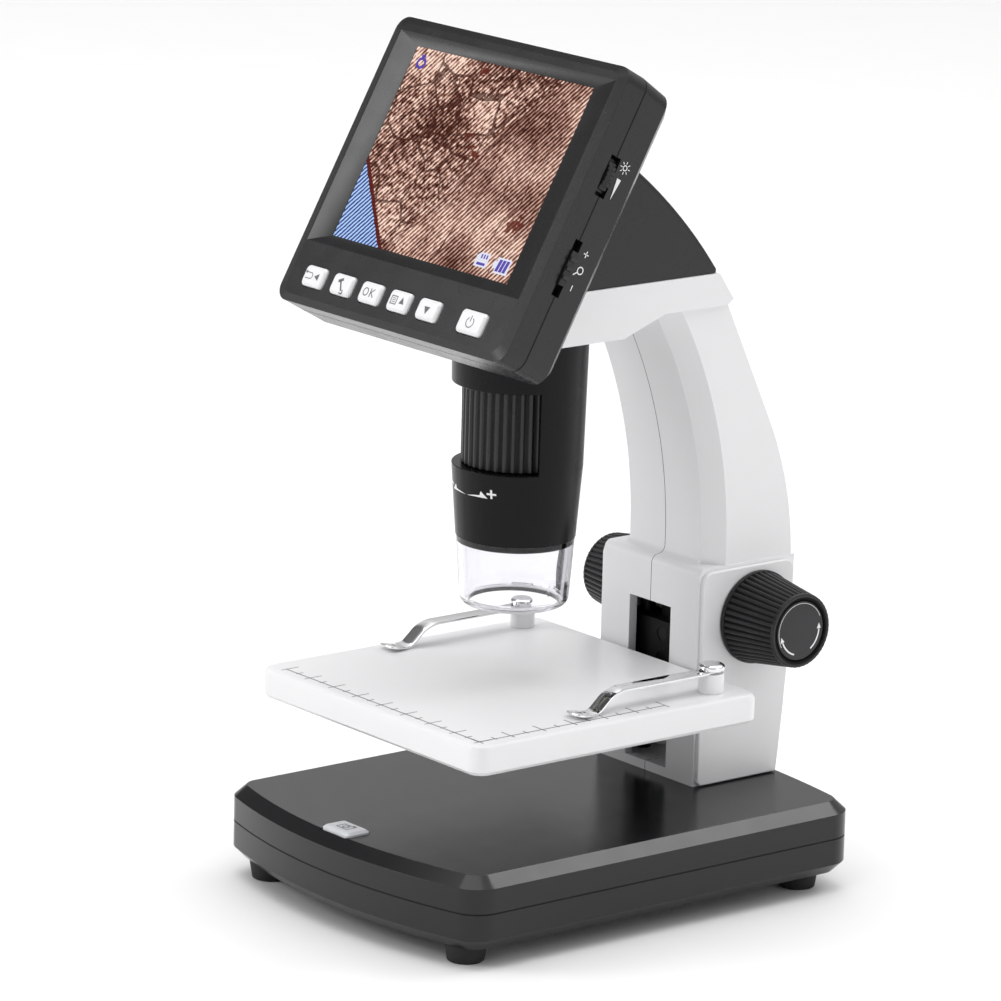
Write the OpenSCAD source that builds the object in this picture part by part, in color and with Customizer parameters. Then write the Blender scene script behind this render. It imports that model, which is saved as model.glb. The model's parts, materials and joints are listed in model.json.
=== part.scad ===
// Desktop digital microscope with a built-in LCD.
// Front is -Y, up is +Z, the table is z = 0 and x = 0 is the plane of symmetry. Sizes are in millimetres.

/* [Base] */
// Width of the base
base_w = 104.4; // [98:0.2:112]
// Length of the base from front to back
base_len = 138; // [132:0.5:146]
// Height of the base's top face above the table
base_top = 24.2; // [23.2:0.1:27]
// Height of the joint between the base's two shells
base_seam = 14.8; // [14:0.1:15.6]
// Radius of the bow of the front edge
front_bow_r = 167; // [150:1:240]
// Radius of the bow of the rear edge
rear_bow_r = 270; // [190:1:300]
// Radius of the base's corners
base_corner_r = 8; // [6:0.5:11]
// Width of the chamfer round the base's top
base_chamfer = 3.2; // [2:0.1:3.8]
// Wall of the moulded shells
wall = 2.5; // [2.2:0.1:2.8]
// Height of the rubber feet under the base
foot_h = 4.9; // [4.5:0.1:6.5]
// Diameter of a rubber foot where it touches the table
foot_d = 9.4; // [8.4:0.2:12]
// Thickness of the steel ballast plate
ballast_t = 4; // [2:0.1:4.6]

/* [Snap button] */
// Width of the snap button
snap_w = 10.8; // [10:0.1:14]
// Depth of the snap button, front to back
snap_d = 7.4; // [7:0.1:10]
// Height of the snap button above the base
snap_proud = 1; // [0.9:0.1:1.6]

/* [Column and arm] */
// Depth of the column block at its widest
block_depth = 32.4; // [31.5:0.1:34]
// Half width of the column block between its side covers
block_half_w = 19.3; // [18.8:0.1:20.5]
// Height of the column block above the base
block_h = 58.3; // [57:0.1:61]
// Thickness of the side covers
cover_t = 1.4; // [1:0.1:2]
// Half width of the arm
arm_half_w = 19; // [18:0.1:19.3]
// Height from the base's top to the underside of the head
arm_rise = 122.8; // [119:0.2:128]
// Radius of the hollow front of the arm
arm_front_r = 122; // [112:1:140]
// Radius of the rounded back of the arm
arm_rear_r = 90; // [84:1:98]
// Lean of the straight upper back of the arm, in degrees
arm_lean = 26; // [24:0.5:28]
// Half width of the slot that the carriage's tongue passes through
slot_half_w = 8.3; // [8.1:0.1:9]

/* [Focus drive] */
// Diameter of the focus shaft
shaft_d = 5; // [4:0.1:6]
// Height of the focus shaft above the base
shaft_rise = 43.7; // [43:0.1:45]
// Module of the rack and pinion
gear_module = 1; // [0.9:0.02:1.04]
// Number of teeth on the pinion
pinion_teeth = 12; // [11:1:12]
// Diameter of the guide rods
rod_d = 4; // [3:0.1:4.6]
// Diameter of a focus knob at its inner end
knob_d = 24.6; // [20:0.2:28]
// Diameter of a focus knob at its outer face
knob_face_d = 19.6; // [16:0.2:20]
// Length of a focus knob
knob_len = 17.4; // [14:0.2:22]
// Ribs round a focus knob
knob_ribs = 44; // [24:1:60]

/* [Stage] */
// Width of the stage
stage_w = 92; // [88:0.5:100]
// Depth of the stage
stage_len = 92.6; // [88:0.1:94]
// Thickness of the stage
stage_t = 8; // [7:0.1:10]
// Height of the stage's top above the base at rest
stage_rise = 32.1; // [31:0.1:33]
// How far the stage moves down from rest
stage_down = 19; // [14:0.5:19]
// How far the stage moves up from rest
stage_up = 13.5; // [8:0.5:13.5]
// Distance of a clip's post from the middle of the stage
clip_x = 38.5; // [36:0.1:40]
// Diameter of a clip's post
post_d = 6.6; // [5.8:0.1:8]
// Height of a clip's post
post_h = 5.2; // [4.4:0.1:6]
// Width of a spring clip
clip_w = 4.6; // [4:0.1:6]
// Reach of a spring clip in front of its post
clip_reach = 44; // [36:0.5:48]

/* [Head] */
// Half width of the white collar of the head
collar_half_w = 20; // [19.8:0.1:21.5]
// Half width of the black cap behind the display
cap_half_w = 19.6; // [18:0.1:20]
// Distance from the barrel's axis to the back of the arm
throat = 52.5; // [50:0.1:55]
// Radius of the barrel at its top
barrel_r = 17.5; // [17:0.1:17.8]
// Radius of the barrel at its lower end
barrel_tip_r = 15.4; // [15:0.1:16]
// Length of the barrel below the head
barrel_len = 52.6; // [50:0.2:55]
// Height of the opening for the focus wheel
wheel_window_h = 21.2; // [18:0.2:22]
// Half angle of the opening for the focus wheel, in degrees
wheel_window_half = 70.4; // [60:0.4:80]
// Radius of the ribbed focus wheel
wheel_r = 14.5; // [14:0.1:14.8]
// Ribs round the focus wheel
wheel_ribs = 40; // [24:1:60]
// Travel of the lens cell each way
lens_travel = 3; // [1:0.1:3.2]
// Length of the clear hood below the barrel
hood_len = 18; // [12:0.2:19]

/* [Display] */
// Width of the visible picture
lcd_w = 70.08; // [66:0.02:72]
// Height of the visible picture
lcd_h = 52.56; // [50:0.02:54]
// Width of the housing on each side of the picture
frame_side = 11.36; // [10.9:0.02:14]
// Height of the housing above and below the picture together
frame_ends = 26.94; // [25.5:0.02:29]
// Depth of the front bezel, from the picture to the joint
bezel_t = 6.5; // [6.3:0.1:8]
// Depth of the display's rear shell
rear_t = 11; // [9.2:0.1:11.4]
// Angle of the display above the table, in degrees
disp_tilt = 60.8; // [57:0.2:64]
// Width of a menu key
key_w = 8.3; // [7.6:0.1:9.6]
// Height of a menu key along the face
key_h = 5.6; // [5.2:0.1:7]
// Distance between two menu keys
key_pitch = 11.7; // [11.4:0.1:11.9]
// Travel of every key and button
key_travel = 0.8; // [0.4:0.1:0.9]

/* [Hidden] */
$fn = 96;

eps = 0.02;          // overlap of two shapes that are joined face to face
fit = 0.03;          // radial clearance of a running fit
seat = 0.25;         // clearance round a loose piece
white = "gainsboro";
black = [0.17, 0.17, 0.18];
steel = "silver";
brass = "goldenrod";
board_green = [0.1, 0.35, 0.2];
board_t = 1.6;
switch_h = 1.2;      // a low tactile switch on its board

// Base
half_w = base_w / 2;
front_y = -base_len / 2;
rear_y = base_len / 2;
top_t = 2.2;                              // top plate of the base
chamfer_h = 2.9;
floor_bevel = 3;
foot_inset = [11.2, 14, 14.3];              // from the side, the front and the rear
foot_x = half_w - foot_inset[0];
foot_ys = [front_y + foot_inset[1], rear_y - foot_inset[2]];
foot_plug_r = 2.5;
base_screw_r = 1.5;
base_screw_x = half_w - 8;
base_screw_ys = [front_y + 28, rear_y - 24];
base_post_r = 3.4;

// Snap button
snap_y = front_y + base_chamfer + 0.1 + snap_d / 2;
snap_flange = 1.4;
snap_top = base_top + snap_proud;
snap_flange_top = base_top - top_t - 0.1;
snap_board_z = base_seam;
snap_plunger_r = 2;

// Column and arm
col_y = rear_y - block_depth - 0.1;       // front of the column block
block_top = base_top + block_h;
col_floor = base_top + 2.3;
step_in = 4.4;                            // from the block's front to the arm's front
step_r = step_in / 2;
arm_y = col_y + step_in;
front_arc = [arm_y - arm_front_r, block_top + 4.5];
rear_arc = [col_y + block_depth - 0.9 - arm_rear_r, block_top - 2.5];
block_bow_r = 560;
bow_z = block_top + 7.5;
arm_top = base_top + arm_rise + 5;
arm_plate_t = 4;
bevel_w = 4.7;                            // bevel along the arm's front edges
bevel_depth = 4.6;
slot_z = [base_top + 2.5, base_top + 46];
cover_z = [base_top + 0.3, block_top - 0.8];
cover_front = col_y + 0.5;
cover_r = 3;
column_post_r = 4;
column_screw_r = 2;
column_post_h = 10;
cable_r = 4;
cable_y = col_y + 20.5;

// Focus drive
shaft = [col_y + 18.6, base_top + shaft_rise];
pitch_r = gear_module * pinion_teeth / 2;
tooth_pitch = PI * gear_module;
tooth_tip = 0.9 * gear_module;
tooth_root = 1.25 * gear_module;
tooth_half = 0.3 * gear_module;           // half width at the tip
tooth_flare = 0.36;                       // how much a tooth's side spreads per millimetre
rack_pitch_y = shaft[0] - pitch_r;
rack_t = 3.4;
rack_back = rack_pitch_y - tooth_root - rack_t;
rack_half_w = 4.5;
rod = [11.5, col_y + 9];
rod_boss_r = 3.8;
column_screw_xy = [for (y = [rod[1] + rod_boss_r + column_post_r + 0.5, col_y + 24.6]) [12.5, y]];
carriage_half_w = 15.3;
carriage_y = [col_y + 4.3, col_y + 10.3];
carriage_z = [base_top + 21.8, base_top + 39.8];
tongue_half_w = slot_half_w - 0.6;
tongue_t = 4.5;
bracket_z = [block_top - wall - 2, block_top - wall];
bush_r = 4.5;
bush_flange = [6, 1.2];
collar_r = 4.6;
knob_in = block_half_w + cover_t + 0.3;   // inner face of a knob
knob_wall = 4.2;                          // solid end of a knob beyond the shaft
rib_depth = 0.5;
knob_dish = 0.8;

// Stage
stage_top = base_top + stage_rise;
stage_z = stage_top - stage_t;
stage_rear = col_y - 0.6;
stage_front = stage_rear - stage_len;
stage_corner_r = 4.5;
tongue_y = stage_rear - 13.9;
clip_y = stage_rear - 10.9;
clip_t = 0.7;
clip_z = stage_top + post_h;
cap_h = 1.7;
clip_pin_r = 1.3;
stage_screw_x = 4.5;
stage_screw_r = 1.5;

function arc(cx, cy, r, a0, a1, n) =
    [for (i = [0:n]) let (a = a0 + (a1 - a0) * i / n) [cx + r * cos(a), cy + r * sin(a)]];
function mirrored(pts) = [for (i = [len(pts) - 2:-1:1]) [-pts[i][0], pts[i][1]]];

// Angle at which a corner's arc meets the bow of an edge
function bow_angle(bow_r) = acos((half_w - base_corner_r) / (bow_r - base_corner_r));

// Right half of the base's outline, moved in by d, from the front to the back
function base_side(d) = let (
        af = bow_angle(front_bow_r),
        ar = bow_angle(rear_bow_r),
        cf = front_y + front_bow_r,
        cr = rear_y - rear_bow_r,
        cx = half_w - base_corner_r,
        r = base_corner_r - d
    ) concat(
        arc(0, cf, front_bow_r - d, -90, -af, 9),
        arc(cx, cf - (front_bow_r - base_corner_r) * sin(af), r, -af + 8, 0, 7),
        arc(cx, cr + (rear_bow_r - base_corner_r) * sin(ar), r, 0, ar - 8, 7),
        arc(0, cr, rear_bow_r - d, ar, 90, 9)
    );

function base_pts(d) = concat(base_side(d), mirrored(base_side(d)));

module base_outline(d) { polygon(base_pts(d)); }

// Outline of a rounded rectangle whose middle is at [0, y0]
function rounded_pts(w, h, r, y0 = 0) = let (x = w / 2 - r, y = h / 2 - r) concat(
    arc(x, y0 + y, r, 0, 90, 6), arc(-x, y0 + y, r, 90, 180, 6),
    arc(-x, y0 - y, r, 180, 270, 6), arc(x, y0 - y, r, 270, 360, 6));

module rounded(w, h, r) { polygon(rounded_pts(w, h, r)); }

// A closed skin over rings of equally many points, each ring a [z, outline], from the lowest to the highest
module loft(rings) {
    n = len(rings[0][1]);
    last = len(rings) - 1;
    polyhedron(
        points = [for (ring = rings, p = ring[1]) [p[0], p[1], ring[0]]],
        faces = concat(
            [[for (i = [0:n - 1]) i], [for (i = [n - 1:-1:0]) last * n + i]],
            [for (k = [0:last - 1], i = [0:n - 1]) let (j = (i + 1) % n)
                [k * n + i, (k + 1) * n + i, (k + 1) * n + j, k * n + j]]
        )
    );
}

// A shape drawn in Y and Z, stretched over x = -half_w..half_w
module across(half) { rotate([90, 0, 90]) translate([0, 0, -half]) linear_extrude(2 * half) children(); }

module at_corners(x, ys) { for (sx = [-1, 1], y = ys) translate([sx * x, y, 0]) children(); }

// A screw with its head below z = 0 and its shank above
module screw(r, length, head_r, head_h) {
    translate([0, 0, -head_h]) cylinder(r = head_r, h = head_h);
    cylinder(r = r, h = length);
}

module base_post(z0, z1) { translate([0, 0, z0]) cylinder(r = base_post_r, h = z1 - z0); }

module base_upper_shell() {
    color(black) difference() {
        loft([
            [base_seam, base_pts(0)], [base_top - chamfer_h, base_pts(0)], [base_top, base_pts(base_chamfer)]
        ]);
        difference() {
            translate([0, 0, base_seam - 1])
                linear_extrude(base_top - top_t - base_seam + 1) base_outline(wall);
            at_corners(base_screw_x, base_screw_ys) base_post(base_seam - 2, base_top);
        }
        at_corners(base_screw_x, base_screw_ys) translate([0, 0, base_seam - 1])
            cylinder(r = base_screw_r + fit, h = 6.5);
        translate([0, snap_y, base_top - 5])
            linear_extrude(8) rounded(snap_w + 2 * seat, snap_d + 2 * seat, 1.2);
        translate([0, cable_y, base_top - 5]) cylinder(r = cable_r, h = 8);
        for (p = column_screw_xy, sx = [-1, 1]) translate([sx * p[0], p[1], base_top - 5])
            cylinder(r = column_screw_r + fit, h = 8);
    }
}

module base_lower_shell() {
    color(black) difference() {
        loft([
            [foot_h, base_pts(floor_bevel)], [foot_h + floor_bevel, base_pts(0)], [base_seam, base_pts(0)]
        ]);
        difference() {
            translate([0, 0, foot_h + wall]) linear_extrude(base_seam) base_outline(wall + 0.6);
            at_corners(base_screw_x, base_screw_ys) base_post(foot_h, 2 * base_seam);
            for (sx = [-1, 1]) translate([sx * 8, snap_y + 2, foot_h]) cylinder(r = 2.2, h = 2 * base_seam);
        }
        at_corners(base_screw_x, base_screw_ys) translate([0, 0, foot_h - 1]) {
            cylinder(r = base_screw_r + fit, h = base_seam);
            cylinder(r = 3.1, h = 3.2);
        }
        at_corners(foot_x, foot_ys) translate([0, 0, foot_h - 1]) cylinder(r = foot_plug_r + fit, h = wall + 2);
    }
}

module ballast_plate() {
    plate = [base_w - 26, base_len - 44];
    color(steel) translate([0, 2, foot_h + wall]) linear_extrude(ballast_t) rounded(plate[0], plate[1], 6);
}

module rubber_feet() {
    color("dimgray") at_corners(foot_x, foot_ys) {
        cylinder(d1 = foot_d, d2 = foot_d + 1.6, h = foot_h);
        cylinder(r = foot_plug_r, h = foot_h + wall);
    }
}

module base_screws() {
    color(steel) at_corners(base_screw_x, base_screw_ys) translate([0, 0, foot_h + 2.2])
        screw(base_screw_r, base_seam - foot_h + 2.6, 2.9, 1.6);
}

// The board with the snap switch on its two posts
module snap_board() {
    color(board_green) translate([0, snap_y + 2, snap_board_z])
        linear_extrude(board_t) square([24, 10], center = true);
    color(steel) translate([0, snap_y, snap_board_z + board_t])
        linear_extrude(switch_h + 1) square(5, center = true);
}

module snap_button() {
    switch_top = snap_board_z + board_t + switch_h + 1;
    color("lightgray") translate([0, snap_y, 0]) {
        loft([
            [snap_flange_top - 0.1, rounded_pts(snap_w, snap_d, 1)],
            [snap_top - 0.6, rounded_pts(snap_w, snap_d, 1)],
            [snap_top, rounded_pts(snap_w - 1.4, snap_d - 1.4, 0.6)]
        ]);
        translate([0, snap_flange / 2, snap_flange_top - 1.2]) linear_extrude(1.2)
            square([snap_w + 2 * snap_flange, snap_d + snap_flange], center = true);
        translate([0, 0, switch_top + key_travel + 0.15])
            cylinder(r = snap_plunger_r, h = snap_flange_top - switch_top - key_travel - 0.65);
    }
}

// Column and arm. Profiles are lists of [y, z], moved in by w.
function arm_back(w, z) = let (r = arm_rear_r - w, zt = rear_arc[1] + r * sin(arm_lean))
    z < zt ? rear_arc[0] + sqrt(r * r - pow(z - rear_arc[1], 2))
           : rear_arc[0] + r * cos(arm_lean) - (z - zt) * tan(arm_lean);
function arm_front(w, z) = front_arc[0] + sqrt(pow(arm_front_r + w, 2) - pow(z - front_arc[1], 2));
function block_back(w, z) =
    col_y + block_depth - w - block_bow_r + sqrt(pow(block_bow_r, 2) - pow(z - bow_z, 2));
function rise(z0, z1, n) = [for (i = [0:n]) z0 + (z1 - z0) * i / n];

module block_profile(w, z0, z1) {
    polygon(concat([[col_y + w, z0], [col_y + w, z1 - (w > 0 ? 0 : step_r)]],
        w > 0 ? [] : arc(col_y + step_r, z1 - step_r, step_r, 170, 90, 8),
        [for (z = rise(z1, z0, 8)) [block_back(w, z), z]]));
}

module arm_profile(w, z0, z1) {
    polygon(concat(
        [for (z = rise(z0, z1, 20)) [arm_front(w, z), z]],
        [for (z = rise(z1, z0, 24)) [arm_back(w, z), z]]
    ));
}

// The disc that hollows the arm's front and bevels its two front edges
module front_cutter(w) {
    half = arm_half_w - w;
    flat = half - bevel_w;
    over = 2;
    r = arm_front_r + w;
    deep = r + bevel_depth + over * bevel_depth / bevel_w;
    translate([0, front_arc[0], front_arc[1]]) rotate([0, 90, 0]) rotate_extrude($fn = 240)
        polygon([
            [0, -half - over], [deep, -half - over], [r, -flat], [r, flat], [deep, half + over], [0, half + over]
        ]);
}

module arm_solid(w, z0, z1) {
    difference() {
        across(arm_half_w - w) arm_profile(w / 2, z0, z1);
        front_cutter(w);
    }
}

module column_outer() {
    across(block_half_w) block_profile(0, base_top, block_top);
    arm_solid(0, block_top - 2, arm_top);
    difference() {
        across(arm_half_w - bevel_w) translate([arm_y - step_r, block_top - 0.1])
            square([step_r + 1, step_r + 0.1]);
        translate([0, arm_y - step_r, block_top + step_r]) rotate([0, 90, 0])
            cylinder(r = step_r, h = 2 * block_half_w, center = true);
    }
}

module column_inner() {
    across(block_half_w - wall) block_profile(wall, col_floor, block_top - wall);
    difference() {
        arm_solid(wall, block_top - 2 * wall, arm_top - arm_plate_t);
        translate([-50, 0, 0]) cube([100, arm_y + 0.2, block_top]);
    }
}

module column_half(side) {
    keep = 60;
    color(white) difference() {
        intersection() {
            column_outer();
            translate([side > 0 ? 0 : -keep, -100, 0]) cube([keep, 300, 400]);
        }
        difference() {
            column_inner();
            for (p = column_screw_xy, sx = [-1, 1]) translate([sx * p[0], p[1], 0])
                cylinder(r = column_post_r, h = col_floor + column_post_h);
        }
        translate([-slot_half_w, col_y - 1, slot_z[0]])
            cube([2 * slot_half_w, wall + 2, slot_z[1] - slot_z[0]]);
        for (p = column_screw_xy, sx = [-1, 1]) translate([sx * p[0], p[1], base_top - 1])
            cylinder(r = column_screw_r + fit, h = column_post_h + 1);
        for (sx = [-1, 1]) translate([sx * rod[0], rod[1], base_top - 1])
            cylinder(d = rod_d + 2 * fit, h = 5);
        translate([0, cable_y, base_top - 1]) cylinder(r = cable_r, h = 5);
        translate([-50, shaft[0], shaft[1]]) rotate([0, 90, 0]) cylinder(r = bush_r + fit, h = 100);
        translate([0, head_screw_y[0] + 5, arm_top - arm_plate_t - 1]) cylinder(r = cable_r, h = 9);
        for (p = head_screw_xy) translate([p[0], p[1], arm_top - arm_plate_t - 1])
            cylinder(r = head_screw_r + fit, h = arm_plate_t + 2);
    }
}

module column_left() { column_half(-1); }
module column_right() { column_half(1); }

// Plates over the shaft's bushes on both sides of the column
module side_cover(side) {
    z0 = cover_z[0];
    z1 = cover_z[1];
    color(white) difference() {
        translate([side * (block_half_w + cover_t / 2), 0, 0]) across(cover_t / 2) polygon(concat(
            [[cover_front, z0 + 1]],
            arc(cover_front + cover_r, z1 - cover_r, cover_r, 180, 90, 6),
            arc(block_back(1, z1) - cover_r, z1 - cover_r, cover_r, 90, 0, 6),
            [for (z = rise(z1 - cover_r - 4, z0, 8)) [block_back(1, z), z]],
            [[cover_front + 1, z0]]));
        translate([0, shaft[0], shaft[1]]) rotate([0, 90 * side, 0]) cylinder(r = bush_r + fit, h = 100);
    }
}

module side_cover_left() { side_cover(-1); }
module side_cover_right() { side_cover(1); }

module column_screws() {
    color(steel) for (p = column_screw_xy, sx = [-1, 1]) translate([sx * p[0], p[1], base_top - top_t])
        screw(column_screw_r, top_t + column_post_h - 1, 3.5, 2.4);
}

module guide_rods() {
    color(steel) for (sx = [-1, 1]) translate([sx * rod[0], rod[1], base_top])
        cylinder(d = rod_d, h = bracket_z[1] - base_top);
}

// The plate that holds the guide rods' upper ends, notched for the rack
module rod_bracket() {
    notch = rack_half_w + 0.6;
    color(steel) difference() {
        translate([wall - block_half_w, col_y + wall, bracket_z[0]])
            cube([2 * (block_half_w - wall), 12, bracket_z[1] - bracket_z[0]]);
        for (sx = [-1, 1]) translate([sx * rod[0], rod[1], 0]) cylinder(d = rod_d + 2 * fit, h = block_top);
        translate([-notch, rack_back - 0.8, 0]) cube([2 * notch, 30, block_top]);
    }
}

module shaft_bushes() {
    flange_x = block_half_w - wall;
    color(brass) for (side = [-1, 1])
        translate([0, shaft[0], shaft[1]]) rotate([0, 90 * side, 0]) difference() {
            union() {
                translate([0, 0, flange_x - bush_flange[1]]) cylinder(r = bush_flange[0], h = bush_flange[1]);
                translate([0, 0, flange_x - eps]) cylinder(r = bush_r, h = wall + cover_t + eps);
            }
            cylinder(d = shaft_d + 2 * fit, h = 40);
        }
}

// The block that slides on the guide rods, with the tongue that carries the stage
module carriage() {
    depth = carriage_y[1] - carriage_y[0];
    tall = carriage_z[1] - carriage_z[0];
    color(black) difference() {
        union() {
            translate([-carriage_half_w, carriage_y[0], carriage_z[0]])
                cube([2 * carriage_half_w, depth, tall]);
            for (sx = [-1, 1]) translate([sx * rod[0], rod[1], carriage_z[0]])
                cylinder(r = rod_boss_r, h = tall);
            translate([-tongue_half_w, tongue_y, stage_z])
                cube([2 * tongue_half_w, carriage_y[0] - tongue_y + 1, tongue_t]);
            translate([-tongue_half_w, stage_rear + 0.2, carriage_z[0]])
                cube([2 * tongue_half_w, carriage_y[0] - stage_rear + 1, stage_z - carriage_z[0] + 1]);
        }
        for (sx = [-1, 1]) translate([sx * rod[0], rod[1], 0]) cylinder(d = rod_d + 2 * fit, h = block_top);
        translate([-rack_half_w - fit, rack_back, 0]) cube([2 * (rack_half_w + fit), 30, block_top]);
        for (z = rack_screw_z) translate([0, 0, z]) rotate([-90, 0, 0]) {
            cylinder(r = rack_screw_r + fit, h = carriage_y[1]);
            cylinder(r = rack_screw_head + fit, h = carriage_y[0] + 1.5);
        }
        for (sx = [-1, 1]) translate([sx * stage_screw_x, tongue_y + 6, 0])
            cylinder(r = stage_screw_r + fit, h = block_top);
    }
}

rack_screw_z = [carriage_z[0] + 8, carriage_z[1] - 3.5];
rack_screw_r = 1;
rack_screw_head = 1.8;

// Corners of a tooth that points along +Y from its pitch line
function tooth() = let (foot = tooth_half + (tooth_tip + tooth_root) * tooth_flare)
    [[-foot, -tooth_root], [-tooth_half, tooth_tip], [tooth_half, tooth_tip], [foot, -tooth_root]];

module rack() {
    below = ceil((stage_up + tooth_pitch) / tooth_pitch);
    above = ceil((stage_down + tooth_pitch) / tooth_pitch);
    z0 = shaft[1] - below * tooth_pitch;
    z1 = shaft[1] + above * tooth_pitch;
    color(steel) difference() {
        across(rack_half_w) polygon(concat(
            [[rack_back, z0], [rack_back + rack_t, z0]],
            [for (k = [-below:above - 1], p = tooth())
                [rack_pitch_y + p[1], shaft[1] + (k + 0.5) * tooth_pitch + p[0]]],
            [[rack_back + rack_t, z1], [rack_back, z1]]));
        for (z = rack_screw_z) translate([0, rack_back - 1, z]) rotate([-90, 0, 0])
            cylinder(r = rack_screw_r + fit, h = rack_t - 0.4);
    }
}

module rack_screws() {
    color(steel) for (z = rack_screw_z) translate([0, carriage_y[0] + 1.5, z]) rotate([-90, 0, 0])
        screw(rack_screw_r, rack_back - carriage_y[0] - 1.5 + rack_t - 1.6, rack_screw_head, 1.3);
}

module on_shaft(side, x) { translate([side * x, shaft[0], shaft[1]]) rotate([0, 90 * side, 0]) children(); }

module focus_shaft() {
    reach = knob_in + knob_len - knob_wall;
    color(steel) on_shaft(1, -reach) cylinder(d = shaft_d, h = 2 * reach);
}

module pinion() {
    bore_d = shaft_d + 2 * fit;
    color(brass) on_shaft(1, -rack_half_w - 0.5) difference() {
        linear_extrude(2 * rack_half_w + 1) polygon([for (k = [0:pinion_teeth - 1], p = tooth())
            let (a = 180 - 360 * k / pinion_teeth, r = pitch_r + p[1])
                [p[0] * cos(a) - r * sin(a), p[0] * sin(a) + r * cos(a)]]);
        translate([0, 0, -1]) cylinder(d = bore_d, h = 20);
    }
}

// Two collars with their friction washers take up the shaft's end play
collar_x = block_half_w - wall - bush_flange[1] - 0.9;

module shaft_collars() {
    color(steel) for (side = [-1, 1]) on_shaft(side, collar_x - 2.4) difference() {
        cylinder(r = collar_r, h = 2.4);
        translate([0, 0, -1]) cylinder(d = shaft_d + 2 * fit, h = 5);
    }
}

module friction_washers() {
    color("ivory") for (side = [-1, 1]) on_shaft(side, collar_x) difference() {
        cylinder(r = collar_r, h = 0.6);
        translate([0, 0, -1]) cylinder(d = shaft_d + 2 * fit, h = 5);
    }
}

// A ribbed cone with a dished face, pushed onto the shaft
module knob(side) {
    face_r = knob_face_d / 2;
    color(black) on_shaft(side, knob_in) difference() {
        linear_extrude(knob_len, scale = knob_face_d / knob_d) polygon([for (i = [0:4 * knob_ribs - 1])
            let (a = 90 * i / knob_ribs, r = knob_d / 2 - (i % 4 < 2 ? 0 : rib_depth))
            [r * cos(a), r * sin(a)]]);
        translate([0, 0, knob_len - knob_dish]) cylinder(r = face_r - 1.4, h = 2);
        translate([0, 0, -1]) cylinder(d = shaft_d + 2 * fit, h = knob_len - knob_wall + 1);
    }
}

module knob_left() { knob(-1); }
module knob_right() { knob(1); }

// Stage and clips
function stage_ring(z, d) = [z,
    rounded_pts(stage_w - 2 * d, stage_len - 2 * d, stage_corner_r - d, (stage_front + stage_rear) / 2)];

module stage_plate() {
    color(white) difference() {
        loft([
            stage_ring(stage_z, 1), stage_ring(stage_z + 1, 0), stage_ring(stage_top - 1.9, 0),
            stage_ring(stage_top - 0.6, 0.6), stage_ring(stage_top, 1.9)
        ]);
        translate([-tongue_half_w - fit, tongue_y - fit, stage_z - 1])
            cube([2 * (tongue_half_w + fit), 30, tongue_t + 1]);
        for (sx = [-1, 1]) translate([sx * stage_screw_x, tongue_y + 6, stage_z])
            cylinder(r = stage_screw_r + fit, h = stage_t - 1.2);
        for (sx = [-1, 1]) translate([sx * clip_x, clip_y, stage_top - 3])
            cylinder(r = clip_pin_r + 1, h = 5);
    }
}

module stage_screws() {
    color(steel) for (sx = [-1, 1]) translate([sx * stage_screw_x, tongue_y + 6, stage_z])
        screw(stage_screw_r, stage_t - 1.4, 2.8, 1.6);
}

// White posts, each with a spigot in the stage and a bore for its clip's pin
module clip_posts() {
    color(white) for (sx = [-1, 1]) translate([sx * clip_x, clip_y, stage_top]) difference() {
        union() {
            cylinder(d = post_d, h = post_h);
            translate([0, 0, -3]) cylinder(r = clip_pin_r + 1 - fit, h = 3.5);
        }
        translate([0, 0, -2]) cylinder(r = clip_pin_r + fit, h = post_h + 3);
    }
}

// A sprung strip that runs forward, slopes down to the stage and turns up at its tip
module clip(side) {
    bend = clip_reach - 11.5;
    toe = clip_reach - 5.5;
    rise_h = post_h - 0.4;
    strip = [[3, 0], [-bend, 0], [-toe, -rise_h], [-toe - 2, -rise_h], [-clip_reach, 1.9 - rise_h]];
    color(steel) translate([side * clip_x, clip_y, clip_z]) difference() {
        union() {
            cylinder(d = post_d - 0.6, h = clip_t);
            across(clip_w / 2)
                polygon(concat(strip, [for (i = [len(strip) - 1:-1:0]) strip[i] + [0, clip_t]]));
        }
        translate([0, 0, -1]) cylinder(r = clip_pin_r + fit, h = 3);
    }
}

module clip_left() { clip(-1); }
module clip_right() { clip(1); }

module clip_cap(side) {
    r = post_d / 2 + 0.1;
    color(steel) translate([side * clip_x, clip_y, clip_z + clip_t]) {
        rotate_extrude() polygon([[0, 0], [r, 0], [r, cap_h - 0.5], [r - 0.7, cap_h], [0, cap_h]]);
        translate([0, 0, -clip_t - post_h + 0.6]) cylinder(r = clip_pin_r, h = clip_t + post_h);
    }
}

module clip_cap_left() { clip_cap(-1); }
module clip_cap_right() { clip_cap(1); }

// Head
head_z = base_top + arm_rise;
arm_back_y = arm_back(0, arm_top);
barrel_y = arm_back_y - throat;
collar_top = head_z + 13.6;
collar_rear = collar_top - 7.2;           // height of the collar's rearmost edge
head_screw_r = 1.5;
head_screw_y = [arm_back_y - 15, arm_back_y - 6];
head_screw_xy = [for (sx = [-1, 1], y = head_screw_y) [sx * 11, y]];
roof_r = 139;
roof_out = 63.6;
roof_drop = 67.1;
roof = [barrel_y - roof_out, head_z - roof_drop]; // centre of the cap's rounded back
cap_edge_r = 1.8;
head_step = 3.8;                           // how far the head's rear leans forward up to the cap
disp_o = [barrel_y - 20.8, head_z + 45.8]; // middle of the picture
disp_back = -bezel_t - rear_t;
barrel_wall = 2;
barrel_plate_t = 4;
barrel_screw_r = 1.25;
barrel_screw_ring = 14;
barrel_hole_r = 8;
window_top = 12.4;                        // depths below the head
window_low = window_top + wheel_window_h;
lip_t = 1.9;
lip_r = 12.6;
lens_bore_r = 10.35;
lens_top = window_top + 6.6;
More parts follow.
